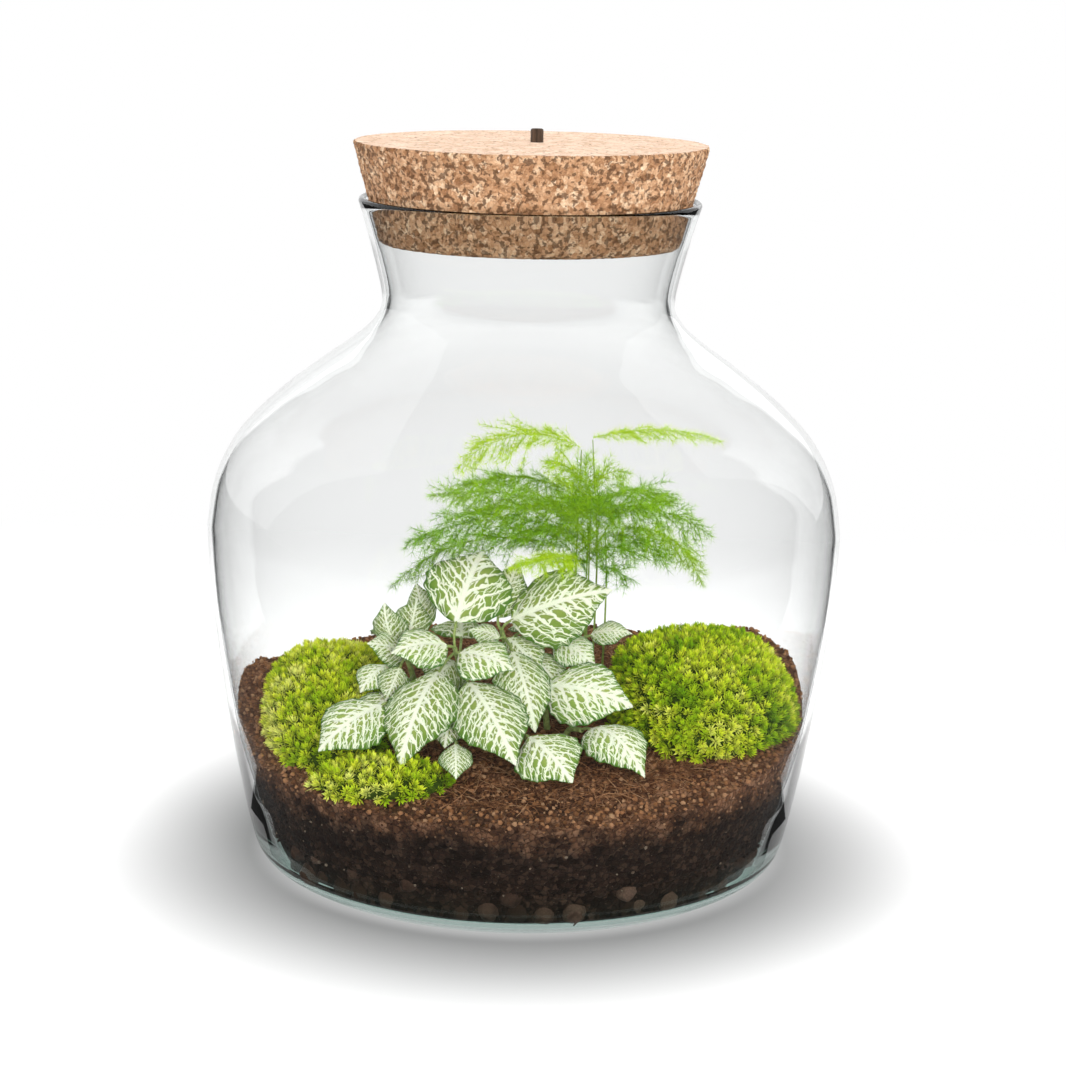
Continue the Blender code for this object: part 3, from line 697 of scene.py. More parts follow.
def moss_ground():
    made, tree, shader = new_material("moss_ground", 0.9)
    at = place(tree)
    dapple = noise_at(tree, at, 400.0, 4.0, 0.6)
    colour = ramp(tree, dapple, (0.3, (0.015, 0.03, 0.004)), (0.7, (0.07, 0.11, 0.01)))
    feed(tree, shader, Base_Color=colour, Normal=bumped(tree, dapple, 0.8, 0.001))
    return made


def nerve_leaf_finish(veins):
    """Green leaf tissue, darker at its margin, under white veins. The pale attribute is 1 on young leaves."""
    made, tree, shader = new_material("nerve_leaf", 0.5)
    blade = put(tree, "ShaderNodeUVMap", uv_map="blade").outputs[0]
    margin, pale = attribute(tree, "margin"), attribute(tree, "pale")
    breadth = plus(tree, 0.95, times(tree, pale, 0.75))
    net = group_outputs(tree, veins, Blade=blade, Margin=margin, Spacing=VEIN_SPACING, Breadth=breadth)
    blotch = noise_at(tree, blade, 3.0, 4.0, 0.6)
    depth = weighted(tree, margin, 0.75, blotch, 0.45)
    deep = ramp(tree, depth, (0.25, (0.26, 0.32, 0.075)), (0.7, (0.17, 0.26, 0.035)), (1.0, (0.07, 0.16, 0.015)))
    young = ramp(tree, depth, (0.3, (0.4, 0.48, 0.13)), (0.8, (0.22, 0.36, 0.06)), (1.05, (0.04, 0.16, 0.015)))
    green = mixed(tree, pale, deep, young)
    white = mixed(tree, blotch, (0.93, 0.93, 0.8, 1), (0.86, 0.89, 0.68, 1))
    colour = mixed(tree, net["White"], green, white)
    cells = noise_at(tree, blade, 40.0, 2.0, 0.5)
    relief = weighted(tree, net["White"], -0.6, cells, 0.35)
    rough = remap(tree, cells, 0.3, 0.7, 0.42, 0.6)
    feed(tree, shader, Base_Color=colour, Roughness=rough, Normal=bumped(tree, relief, 0.45, 0.0006))
    shader.inputs["Subsurface Weight"].default_value = 0.2
    shader.inputs["Subsurface Radius"].default_value = (0.002, 0.003, 0.001)
    return made


def soft_stem(name, dark, light, scale):
    made, tree, shader = new_material(name, 0.55)
    at = place(tree)
    streak = noise_at(tree, at, scale, 4.0, 0.6)
    colour = ramp(tree, streak, (0.35, dark), (0.7, light))
    feed(tree, shader, Base_Color=colour, Normal=bumped(tree, streak, 0.4, 0.0003))
    return made


def fern_needle():
    """Fine needles: the young attribute is 1 on fresh, yellower fronds, and tips are lighter than bases."""
    made, tree, shader = new_material("fern_spray", 0.5)
    shade, young, tip = attribute(tree, "shade"), attribute(tree, "young"), attribute(tree, "rise")
    mix = weighted(tree, shade, 0.5, tip, 0.4)
    old = ramp(tree, mix, (0.0, (0.035, 0.16, 0.008)), (0.45, (0.16, 0.5, 0.008)), (1.0, (0.5, 0.86, 0.05)))
    fresh = ramp(tree, mix, (0.0, (0.46, 0.7, 0.008)), (0.5, (0.7, 0.92, 0.015)), (1.0, (0.92, 0.97, 0.08)))
    feed(tree, shader, Base_Color=mixed(tree, young, old, fresh))
    shader.inputs["Subsurface Weight"].default_value = 0.1
    shader.inputs["Subsurface Radius"].default_value = (0.001, 0.002, 0.0005)
    return made


def unless_mirrored(tree, bright, mirrored):
    """bright where it is seen straight or through glass, and mirrored where glass reflects it."""
    depth = put(tree, "ShaderNodeLightPath").outputs["Glossy Depth"]
    return mixed(tree, maths(tree, "GREATER_THAN", depth, 0.5), bright, mirrored)


def pale_floor(name, paleness, glow, mirrored=True):
    """A matt floor with a painted shadow round the jar's foot and a painted glow under the foot, that turns into an
    evenly lit backdrop behind it.
    """
    made, tree, shader = new_material(name, 0.9)
    far = put(tree, "ShaderNodeSeparateXYZ", {0: place(tree)}).outputs[1]
    behind = remap(tree, far, 0.2, 0.55)
    middle = vector_maths(tree, "MULTIPLY", place(tree), (1.0, 1.0, 0.0))
    from_middle = put(tree, "ShaderNodeVectorMath", {0: middle}, operation="LENGTH").outputs["Value"]
    # Painted light: the glow under the jar's foot.
    under = remap(tree, from_middle, FOOT_GLOW_START, FOOT_GLOW_END, FOOT_GLOW, 0.0)
    behind = maths(tree, "MAXIMUM", behind, under)
    # Painted shadow round the jar's foot.
    clear = remap(tree, from_middle, PAINTED_SHADOW_START, PAINTED_SHADOW_END)
    pale = mixed(tree, clear, (paleness * FOOT_PAINTED_SHADOW,) * 3 + (1.0,), (paleness,) * 3 + (1.0,))
    own = mixed(tree, behind, pale, (0.0, 0.0, 0.0, 1.0))
    light = mixed(tree, behind, (0.0, 0.0, 0.0, 1.0), (1.0, 1.0, 1.0, 1.0))
    if not mirrored:
        own = unless_mirrored(tree, own, (0.04, 0.04, 0.04, 1.0))
        light = unless_mirrored(tree, light, (0.0, 0.0, 0.0, 1.0))
    feed(tree, shader, Base_Color=own, Emission_Color=light)
    shader.inputs["Specular IOR Level"].default_value = 0.0
    shader.inputs["Emission Strength"].default_value = glow
    return made


# ---- geometry node trees ----
def tree_with_sockets(name, inputs):
    tree = bpy.data.node_groups.new(name, "GeometryNodeTree")
    for title, kind in inputs:
        tree.interface.new_socket(title, in_out="INPUT", socket_type="NodeSocket" + kind)
    tree.interface.new_socket("Result", in_out="OUTPUT", socket_type="NodeSocketGeometry")
    return tree, tree.nodes.new("NodeGroupInput").outputs, tree.nodes.new("NodeGroupOutput").inputs


def random_value(tree, low, high, seed, kind="FLOAT"):
    """A random number or vector for each point."""
    made = put(tree, "FunctionNodeRandomValue", {"Seed": seed}, data_type=kind)
    sockets = [s for s in made.inputs if s.name in ("Min", "Max") and s.enabled]
    for socket, value in zip(sockets, (low, high)):
        give(tree, socket, value)
    return next(s for s in made.outputs if s.enabled)


def spun_rotation(tree, direction, seed):
    """A rotation whose Z follows direction, turned by a random angle about it."""
    facing = put(tree, "FunctionNodeAlignRotationToVector", {"Vector": direction}, axis="Z").outputs[0]
    angle = random_value(tree, 0.0, 2 * math.pi, seed)
    spin = put(tree, "ShaderNodeCombineXYZ", {2: angle}).outputs[0]
    spin = put(tree, "FunctionNodeEulerToRotation", {0: spin}).outputs[0]
    sockets = {"Rotation": facing, "Rotate By": spin}
    return put(tree, "FunctionNodeRotateRotation", sockets, rotation_space="LOCAL").outputs[0]


def copies_on_points(tree, given, points, rotation):
    """Copies of the collection's pieces on the points, each with its own size and shade, made real."""
    pieces = put(tree, "GeometryNodeCollectionInfo", {"Collection": given["Copies"]}, transform_space="ORIGINAL")
    pieces.inputs["Separate Children"].default_value = True
    pieces.inputs["Reset Children"].default_value = True
    size = random_value(tree, given["Smallest"], given["Largest"], given["Seed"])
    sockets = {"Points": points, "Instance": pieces.outputs[0], "Rotation": rotation, "Scale": size}
    copies = put(tree, "GeometryNodeInstanceOnPoints", {**sockets, "Pick Instance": True}).outputs[0]
    shade = random_value(tree, 0.0, 1.0, plus(tree, given["Seed"], 5.0))
    sockets = {"Geometry": copies, "Name": "shade", "Value": shade}
    copies = put(tree, "GeometryNodeStoreNamedAttribute", sockets, data_type="FLOAT", domain="INSTANCE").outputs[0]
    return put(tree, "GeometryNodeRealizeInstances", {0: copies}).outputs[0]


def with_finish(tree, given, result, shape):
    """Ends the tree with its material."""
    sockets = {"Geometry": shape, "Material": given["Finish"]}
    tree.links.new(put(tree, "GeometryNodeSetMaterial", sockets).outputs[0], result[0])
    return tree


def scatter_tree():
    """Copies of small pieces standing on a surface, spaced apart, between upright and square to the surface."""
    sockets = [("Ground", "Geometry"), ("Copies", "Collection"), ("Spacing", "Float"), ("Density", "Float")]
    sockets += [("Smallest", "Float"), ("Largest", "Float"), ("Upright", "Float"), ("Sway", "Float")]
    sockets += [("Lift", "Float"), ("Seed", "Int"), ("Finish", "Material")]
    tree, given, result = tree_with_sockets("scatter_on_surface", sockets)
    sockets = {"Mesh": given["Ground"], "Distance Min": given["Spacing"]}
    sockets |= {"Density Max": given["Density"], "Seed": given["Seed"]}
    spread = put(tree, "GeometryNodeDistributePointsOnFaces", sockets, distribute_method="POISSON").outputs
    lift = scaled(tree, spread["Normal"], given["Lift"])
    points = put(tree, "GeometryNodeSetPosition", {"Geometry": spread["Points"], "Offset": lift}).outputs[0]
    upright = put(tree, "ShaderNodeCombineXYZ", {2: given["Upright"]}).outputs[0]
    sway = random_value(tree, (-1.0, -1.0, -1.0), (1.0, 1.0, 1.0), given["Seed"], "FLOAT_VECTOR")
    direction = vector_maths(tree, "ADD", spread["Normal"], upright)
    direction = vector_maths(tree, "ADD", direction, scaled(tree, sway, given["Sway"]))
    rotation = spun_rotation(tree, direction, given["Seed"])
    real = copies_on_points(tree, given, points, rotation)
    return with_finish(tree, given, result, real)


def point_copies_tree():
    """Copies of small pieces on the host's own points, each turned at random."""
    sockets = [("Places", "Geometry"), ("Copies", "Collection"), ("Smallest", "Float"), ("Largest", "Float")]
    sockets += [("Seed", "Int"), ("Finish", "Material")]
    tree, given, result = tree_with_sockets("pebbles_on_points", sockets)
    direction = random_value(tree, (-1.0, -1.0, -1.0), (1.0, 1.0, 1.0), given["Seed"], "FLOAT_VECTOR")
    rotation = spun_rotation(tree, direction, given["Seed"])
    real = copies_on_points(tree, given, given["Places"], rotation)
    return with_finish(tree, given, result, real)


def spray_tree():
    """Thin twigs along the host's edges, with tufts of needles that follow each twig's heading attribute."""
    sockets = [("Twigs", "Geometry"), ("Copies", "Collection"), ("Spacing", "Float"), ("Thickness", "Float")]
    sockets += [("Smallest", "Float"), ("Largest", "Float"), ("Sway", "Float")]
    sockets += [("Seed", "Int"), ("Finish", "Material")]
    tree, given, result = tree_with_sockets("fern_spray", sockets)
    curves = put(tree, "GeometryNodeMeshToCurve", {0: given["Twigs"]}).outputs[0]
    ring = put(tree, "GeometryNodeCurvePrimitiveCircle", {"Resolution": 3, "Radius": given["Thickness"]}).outputs[0]
    sockets = {"Curve": curves, "Profile Curve": ring, "Fill Caps": True}
    twigs = put(tree, "GeometryNodeCurveToMesh", sockets).outputs[0]
    points = put(tree, "GeometryNodeCurveToPoints", {"Curve": curves, "Length": given["Spacing"]}, mode="LENGTH")
    heading = put(tree, "GeometryNodeInputNamedAttribute", {"Name": "heading"}, data_type="FLOAT_VECTOR").outputs[0]
    sway = random_value(tree, (-1.0, -1.0, -1.0), (1.0, 1.0, 1.0), given["Seed"], "FLOAT_VECTOR")
    direction = vector_maths(tree, "ADD", heading, scaled(tree, sway, given["Sway"]))
    rotation = spun_rotation(tree, direction, given["Seed"])
    needles = copies_on_points(tree, given, points.outputs["Points"], rotation)
    both = put(tree, "GeometryNodeJoinGeometry")
    tree.links.new(needles, both.inputs[0])
    tree.links.new(twigs, both.inputs[0])
    return with_finish(tree, given, result, both.outputs[0])


def grown(name, host, tree, **inputs):
    """The plain mesh object that the geometry node tree makes of host. Input names have _ for a space."""
    step = host.modifiers.new(tree.name, "NODES")
    step.node_group = tree
    named = {s.name: s.identifier for s in tree.interface.items_tree if s.in_out == "INPUT"}
    for title, value in inputs.items():
        step[named[title.replace("_", " ")]] = value
    bpy.context.view_layer.update()
    graph = bpy.context.evaluated_depsgraph_get()
    mesh = bpy.data.meshes.new_from_object(host.evaluated_get(graph))
    host.modifiers.remove(step)
    if not len(mesh.polygons):
        raise RuntimeError(f"{tree.name} made nothing for {name}")
    return add_object(name, mesh, smooth=False)


def stock(name, *objects):
    """A collection of small pieces to copy, kept out of the scene."""
    collection = bpy.data.collections.new(name)
    for obj in objects:
        for holder in list(obj.users_collection):
            holder.objects.unlink(obj)
        collection.objects.link(obj)
    return collection


def discard(*things):
    """Removes helper objects, and the collections that hold them."""
    for thing in things:
        if isinstance(thing, bpy.types.Collection):
            discard(*list(thing.objects))
            bpy.data.collections.remove(thing)
        else:
            bpy.data.objects.remove(thing)


def named_values(obj, name, values, kind="FLOAT"):
    """Stores one value, or one vector, for each point."""
    layer = obj.data.attributes.new(name, kind, "POINT")
    key = "vector" if kind == "FLOAT_VECTOR" else "value"
    layer.data.foreach_set(key, np.array(values, float).ravel())


# ---- jar ----
def jar_profile(steps):
    outside, inside = jar_outline(steps)
    mouth = RIM_RADIUS - wall_thickness(RIM_HEIGHT)
    floor = [(60.0, FLOOR_THICKNESS + 0.6), (88.0, FLOOR_THICKNESS), (98.0, FLOOR_THICKNESS + 0.3)]
    turn_up = [(30.0, FLOOR_THICKNESS + 1.3), *floor, (103.0, FLOOR_THICKNESS + 2.8), inside[-1]]
    floor = smooth_through(turn_up, 4)[:-1]
    middle = (mouth + RIM_RADIUS) / 2
    half = (RIM_RADIUS - mouth) / 2
    lip = []
    for k in range(1, 10):
        angle = math.pi * (1 - k / 10)
        lip.append((middle + half * math.cos(angle), RIM_HEIGHT - half * 1.1 + half * 1.1 * math.sin(angle)))
    foot = [(FOOT_RADIUS + 1.5, 0.05), (FOOT_RADIUS, 0.0), (FOOT_INNER_RADIUS, 0.0), (FOOT_INNER_RADIUS - 5.0, 0.7)]
    start, end = (0.0, FLOOR_THICKNESS + PUNT_HEIGHT), (0.0, PUNT_HEIGHT)
    inner_side = [start, *floor, *reversed(inside), *lip]
    return list(reversed([*inner_side, *outside, *foot, end]))


def make_jar(segments, steps):
    jar = revolved("jar_glass", jar_profile(steps), segments, [clear_glass()])
    return finished(jar, "clear_glass", "glass_jar")


# ---- cork ----
def cork_roughness(point, depth):
    """How far the cork's side stands back at this point, in millimetres: chipped granules and pits."""
    near, _ = noise.voronoi(point / 2.3, distance_metric="DISTANCE", exponent=2.5)
    seam = smoothstep(0.0, 0.35, near[1] - near[0])
    lump = noise.noise(point / 0.9) * 0.5 + noise.noise(point / 2.2)
    pit = smoothstep(0.12, 0.4, noise.noise(point / 1.3 + Vector((31.0, 7.0, 3.0))))
    return depth * (0.35 * (1 - seam) + 0.45 * lump + 0.8 * pit + 0.3)


def make_cork(segments, depth):
    """A tapered disc of granules. Its side is chipped, its top and bottom are sanded."""
    granules = bpy.data.node_groups["granules"]
    sides = pressed_cork(granules, "cork_side", 0.0026, 0.12, CORK_SIDE_COLOURS)
    top = pressed_cork(granules, "cork_top", 0.0034, 0.03, CORK_TOP_COLOURS)
    bottom_z = CORK_TOP - CORK_THICKNESS
    rows = 60
    profile = [(0.0, bottom_z)]
    profile += [(r, bottom_z) for r in np.linspace(8.0, CORK_BOTTOM_RADIUS - 0.8, 9)]
    for k in range(rows + 1):
        share = k / rows
        radius = CORK_BOTTOM_RADIUS + (CORK_TOP_RADIUS - CORK_BOTTOM_RADIUS) * share
        ease = 0.7 * (smoothstep(0.03, 0.0, share) + smoothstep(0.97, 1.0, share))
        profile.append((radius - ease, bottom_z + CORK_THICKNESS * share))
    profile += [(r, CORK_TOP) for r in np.linspace(CORK_TOP_RADIUS - 1.6, 8.0, 30)] + [(0.0, CORK_TOP)]
    cork = revolved("cork_granules", profile, segments, [sides, top])
    for vertex in cork.data.vertices:
        point = vertex.co / MM
        radius = math.hypot(point.x, point.y)
        edge = CORK_BOTTOM_RADIUS + (CORK_TOP_RADIUS - CORK_BOTTOM_RADIUS) * (point.z - bottom_z) / CORK_THICKNESS
        if radius > edge - 1.2:
            shrink = 1 - cork_roughness(point, depth) / radius
            point.x, point.y = point.x * shrink, point.y * shrink
            point.z -= smoothstep(CORK_TOP - 1.0, CORK_TOP, point.z) * 0.4 * abs(noise.noise(point / 1.3))
        elif radius > 1.0:
            point.z -= 0.12 * abs(noise.noise(point / 1.1))
        vertex.co = point * MM
    for face in cork.data.polygons:
        if face.normal.z > 0.8:
            face.material_index = 1
    return finished(cork, "pressed_cork", "cork_stopper")


def make_peg():
    top, bottom = CORK_TOP + PEG_STANDS_PROUD, CORK_TOP - 2.0
    profile = [(0.0, bottom), (PEG_RADIUS, bottom)]
    profile += [(PEG_RADIUS + 0.05 * math.sin(k * 2.1), bottom + (top - 0.7 - bottom) * k / 8) for k in range(1, 9)]
    profile += [(PEG_RADIUS - 0.15, top - 0.3), (PEG_RADIUS - 0.5, top - 0.06), (PEG_RADIUS - 1.1, top), (0.0, top)]
    peg = revolved("cork_dowel", profile, 32, [dark_wood()])
    for vertex in peg.data.vertices:
        vertex.co.x += PEG_PLACE[0] * MM
        vertex.co.y += PEG_PLACE[1] * MM
    return finished(peg, "dark_wood", "cork_peg")


# ---- soil ----
def lumpy_stone(name, level, amount, seed):
    """A small rounded stone of radius 1 mm, as a piece to copy."""
    bpy.ops.mesh.primitive_ico_sphere_add(subdivisions=level, radius=1.0)
    stone = bpy.context.object
    stone.name = name
    for vertex in stone.data.vertices:
        point = vertex.co + Vector((seed * 3.7, seed * 1.3, 0.0))
        vertex.co = vertex.co * (1 + amount * noise.noise(point * 1.3) + amount * 0.5 * noise.noise(point * 3.1)) * MM
    stone.data.shade_smooth()
    return stone


def soil_ground(segments, rings):
    """(top, whole): the mounded top alone, and the closed body of soil under it."""
    top_points, top_faces = [], []
    reach = []
    for k in range(segments):
        angle = 2 * math.pi * k / segments
        x, y = SOIL_REACH * math.cos(angle), SOIL_REACH * math.sin(angle)
        reach.append(inner_radius(soil_height(x, y)) - 0.5)
    top_points.append((0.0, 0.0, soil_height(0.0, 0.0)))
    for i in range(1, rings + 1):
        for k in range(segments):
            angle = 2 * math.pi * k / segments
            radius = reach[k] * (i / rings) ** 0.8
            x, y = radius * math.cos(angle), radius * math.sin(angle)
            spot = Vector((x, y, 0.0))
            rough = 1.8 * noise.noise(spot / 9.0) + 1.3 * noise.noise(spot / 3.5) + 0.6 * noise.noise(spot / 1.4)
            top_points.append((x, y, soil_height(x, y) - 0.6 + rough * (1 if i < rings else 0.5)))
    for k in range(segments):
        top_faces.append((0, 1 + k, 1 + (k + 1) % segments))
    for i in range(rings - 1):
        for k in range(segments):
            a, b = 1 + i * segments + k, 1 + i * segments + (k + 1) % segments
            top_faces.append((a, a + segments, b + segments, b))
    points, faces = list(top_points), list(top_faces)
    rows = 44
    edge = 1 + (rings - 1) * segments
    last = edge
    for i in range(1, rows + 1):
        first = len(points)
        for k in range(segments):
            angle = 2 * math.pi * k / segments
            z = top_points[edge + k][2] + (SOIL_BOTTOM - top_points[edge + k][2]) * i / rows
            spot = Vector((SOIL_REACH * math.cos(angle), SOIL_REACH * math.sin(angle), z))
            rough = 0.5 + 0.5 * noise.noise(spot / 2.6) + 0.35 * noise.noise(spot / 1.1)
            radius = inner_radius(z) - 0.4 - max(rough, 0.0) * 0.9 - 1.8 * smoothstep(20.0, 15.0, z)
            points.append((radius * math.cos(angle), radius * math.sin(angle), z))
        for k in range(segments):
            after = (k + 1) % segments
            faces.append((last + k, first + k, first + after, last + after))
        last = first
    points.append((0.0, 0.0, SOIL_BOTTOM))
    for k in range(segments):
        faces.append((last + k, len(points) - 1, last + (k + 1) % segments))
    return (top_points, top_faces), (points, faces)


def ring_quads(rows, columns):
    """Faces between rows + 1 rings of points, which follow each other in the list of points."""
    faces = []
    for i in range(rows):
        for k in range(columns):
            a, b = i * columns + k, i * columns + (k + 1) % columns
            faces.append((a, b, b + columns, a + columns))
    return faces


def side_band(low, high, inset, segments=180, rows=24):
    """A band just inside the glass between two heights, to stand crumbs on."""
    points = []
    for i in range(rows + 1):
        for k in range(segments):
            angle = 2 * math.pi * k / segments
            top = soil_height(112 * math.cos(angle), 112 * math.sin(angle)) if high is None else high
            z = low + (top - low) * i / rows
            radius = inner_radius(z) - inset
            points.append((radius * math.cos(angle), radius * math.sin(angle), z))
    return points, ring_quads(rows, segments)


def bent_fibre(name, length, bend, seed):
    """A thin curved fibre lying along X, about 1 mm long before scaling, as a piece to copy."""
    route = []
    for k in range(5):
        t = k / 4 - 0.5
        centre = (length * t, bend * (0.25 - t * t) * 4, 0.12 * math.sin(seed + 4 * t))
        route.append((centre, 0.045 * (1.2 - abs(t))))
    points, faces = tube_mesh([route], sides=3)
    return add_mesh(name, points, faces)


def make_soil(segments, rings, spacing):
    granules = bpy.data.node_groups["granules"]
    scatter = bpy.data.node_groups["scatter_on_surface"]
    crumb_finish = soil_crumb()
    top, whole = soil_ground(segments, rings)
    body = add_mesh("soil_body", *whole, [potting_soil(granules, "potting_soil", 1.0)])
    finished(body, "potting_soil", "potting_soil")
    ground = add_mesh("soil_top_ground", *top)
    crumbs = stock("crumbs", *[lumpy_stone(f"crumb_{k}", 1, 0.55, k) for k in range(3)])
    made = grown("soil_crumbs", ground, scatter, Copies=crumbs, Spacing=spacing * MM, Density=4e5, Smallest=0.35,
                 Largest=1.15, Upright=0.0, Sway=1.0, Lift=0.0002, Seed=3, Finish=crumb_finish)
    finished(made, "potting_soil")
    band = add_mesh("soil_side_ground", *side_band(17.0, None, 1.0))
    made = grown("soil_side_crumbs", band, scatter, Copies=crumbs, Spacing=spacing * 1.15 * MM, Density=4e5,
                 Smallest=0.3, Largest=0.75, Upright=0.0, Sway=1.0, Lift=0.0, Seed=11, Finish=crumb_finish)
    finished(made, "potting_soil")
    fibres = stock("fibres", *[bent_fibre(f"fibre_{k}", 1.6 + k, 0.2 + 0.25 * k, k) for k in range(4)])
    inner_faces = top[1][: segments * int(rings * 0.86)]
    middle = add_mesh("soil_fibre_ground", top[0], inner_faces)
    made = grown("soil_fibres", middle, scatter, Copies=fibres, Spacing=spacing * 0.8 * MM, Density=5e5, Smallest=1.5,
                 Largest=4.2, Upright=0.6, Sway=0.7, Lift=0.0005, Seed=21, Finish=crumb_finish)
    finished(made, "potting_soil")
    discard(ground, middle, band, crumbs, fibres)


def make_pebbles(size):
    """Fired clay balls packed on the jar's floor, with the dark filling between them."""
    rng = np.random.default_rng(5)
    granules = bpy.data.node_groups["granules"]
    finish = fired_clay(granules)
    low = FLOOR_THICKNESS + PUNT_HEIGHT + 0.6
    profile = [(0.0, low), (60.0, low - 1.0), (87.0, low - 1.6), (96.5, low - 1.2), (100.6, 6.6)]
    profile += [(inner_radius(z) - 2.2, z) for z in (10.5, 12.0, 14.0, 15.5, 17.0)] + [(70.0, 17.0), (0.0, 17.0)]
    filling = revolved("pebble_filling", profile, 160, [potting_soil(granules, "soil_between_pebbles", 0.0)])
    for vertex in filling.data.vertices:
        vertex.co.z += 0.0004 * noise.noise(vertex.co / MM / 4.0)
    finished(filling, "potting_soil")
    spots = []
    radius = size / 2
    for ring_radius, height, count, skip in PEBBLE_RINGS:
        for k in range(count):
            if rng.random() < skip:
                continue
            angle = 2 * math.pi * (k + rng.uniform(-0.35, 0.35)) / count
            wide = ring_radius + rng.uniform(-1.6, 0.6)
            spots.append((wide * math.cos(angle), wide * math.sin(angle), height + rng.uniform(-0.5, 2.6)))
    for ring_radius in INNER_PEBBLE_RINGS:
        count = max(int(2 * math.pi * ring_radius / (size * 1.06)), 3)
        for k in range(count):
            angle = 2 * math.pi * (k + rng.uniform(0, 0.4)) / count
            spots.append((ring_radius * math.cos(angle), ring_radius * math.sin(angle), low + radius - 1.6))
    cloud = add_mesh("pebble_places", np.array(spots), [])
    tree = bpy.data.node_groups["pebbles_on_points"]
    stones = stock("clay_stones", *[lumpy_stone(f"stone_{k}", 2, 0.16, k + 9) for k in range(3)])
    made = grown("clay_balls", cloud, tree, Copies=stones, Smallest=radius * 0.7, Largest=radius * 1.04, Seed=2,
                 Finish=finish)
    made.data.shade_smooth()
    finished(made, "fired_clay", "clay_pebbles")
    discard(cloud, stones)


# ---- moss ----
def moss_shoot(name, seed):
    """A leafy shoot about 5 mm tall: whorls of pointed leaves, spreading below and upright at the top."""
    rng = np.random.default_rng(seed)
    points, faces, rise = [], [], []
    for height, count, spread, length in MOSS_WHORLS:
        turn = rng.uniform(0, 6.28)
        for k in range(count):
            angle = turn + 2 * math.pi * (k + rng.uniform(-0.2, 0.2)) / count
            lean = spread * rng.uniform(0.8, 1.15)
            long = length * rng.uniform(0.8, 1.15)
            out = Vector((math.cos(angle), math.sin(angle), 0.0))
            wide = Vector((-math.sin(angle), math.cos(angle), 0.0)) * 0.33
            up = Vector((0.0, 0.0, 1.0))
            base = Vector((0.0, 0.0, height)) + out * 0.08
            mid = base + (out * math.sin(lean) + up * math.cos(lean)) * long * 0.45
            tip = mid + (out * math.sin(lean * 0.75) + up * math.cos(lean * 0.75)) * long * 0.55
            first = len(points)
            points += [base, mid + wide + up * 0.06, tip, mid - wide + up * 0.06]
            faces += [(first, first + 1, first + 2), (first, first + 2, first + 3)]
            level = height / 3.0
            rise += [0.1 + 0.3 * level, 0.4 + 0.35 * level, 0.7 + 0.3 * level, 0.4 + 0.35 * level]
    shoot = add_mesh(name, points, faces)
    named_values(shoot, "rise", rise)
    return shoot


def cushion_mesh(settings, inset, columns=72, rows=30):
    """(points, faces) of the cushion's dome over the soil, drawn in from the CAD's by inset."""
    x0, y0, radius_x, radius_y, rise, lean = settings
    points = []
    for i in range(rows + 1):
        slope = 0.5 * math.pi * i / rows
        out, up = math.cos(slope), math.sin(slope)
        if i == rows:
            out, up = 0.0, 1.0
        for k in range(columns if i < rows else 1):
            angle = 2 * math.pi * k / columns
            x = x0 + (radius_x - inset) * out * math.cos(angle)
            y = y0 + (radius_y - inset) * out * math.sin(angle)
            x += lean * up**2
            spot = Vector((x, y, 0.0))
            rough = 1.1 * noise.noise(spot / 11.0) + 0.7 * noise.noise(spot / 5.0)
            high = max(rise - inset, 1.5) * up**0.8 + rough * up
            points.append((x, y, soil_height(x, y) + 0.4 + high))
    faces = ring_quads(rows - 1, columns)
    last = (rows - 1) * columns
    for k in range(columns):
        faces.append((last + k, last + (k + 1) % columns, rows * columns))
    floor = len(points)
    points.append((x0, y0, soil_height(x0, y0) - 1.0))
    for k in range(columns):
        faces.append((k, floor, (k + 1) % columns))
    return points, faces


def make_moss(spacing):
    scatter = bpy.data.node_groups["scatter_on_surface"]
    finish = moss_shoot_finish()
    ground_finish = moss_ground()
    shoots = stock("moss_shoots", *[moss_shoot(f"shoot_{k}", k) for k in range(4)])
    for number, (name, settings) in enumerate(CUSHIONS.items()):
        is_flat = settings[4] < FLAT_CUSHION
        points, faces = cushion_mesh(settings, FLAT_SHOOT_DEPTH if is_flat else SHOOT_DEPTH)
        bed = add_mesh(name + "_bed", points, faces, [ground_finish])
        dome = add_mesh(name + "_ground", points, [f for f in faces if len(points) - 1 not in f])
        made = grown(name + "_shoots", dome, scatter, Copies=shoots, Spacing=spacing * MM, Density=6e5, Smallest=0.85,
                     Largest=1.25, Upright=0.25, Sway=0.35, Lift=-0.0006, Seed=31 + number, Finish=finish)
        finished(bed, "cushion_moss", name)
        finished(made, "cushion_moss")
        discard(dome)
    discard(shoots)


# ---- nerve plant ----
def blade_axes(base, tip, facing):
    """Unit vectors along the blade, across it and out of its upper side."""
    along = (tip - base).normalized()
    across = along.cross(Vector(facing)).normalized()
    return along, across, across.cross(along).normalized()


def leaf_half_width(t):
    """Share of the half width at t from base to tip: an egg-shaped blade with a drawn-out tip."""
    s = min(max((t - LEAF_START) / (1 - LEAF_START), 0.0), 1.0)
    egg = max(math.sin(math.pi * s**0.84), 0.0) ** 0.8
    return egg * (1 - 0.4 * smoothstep(0.6, 1.0, s))


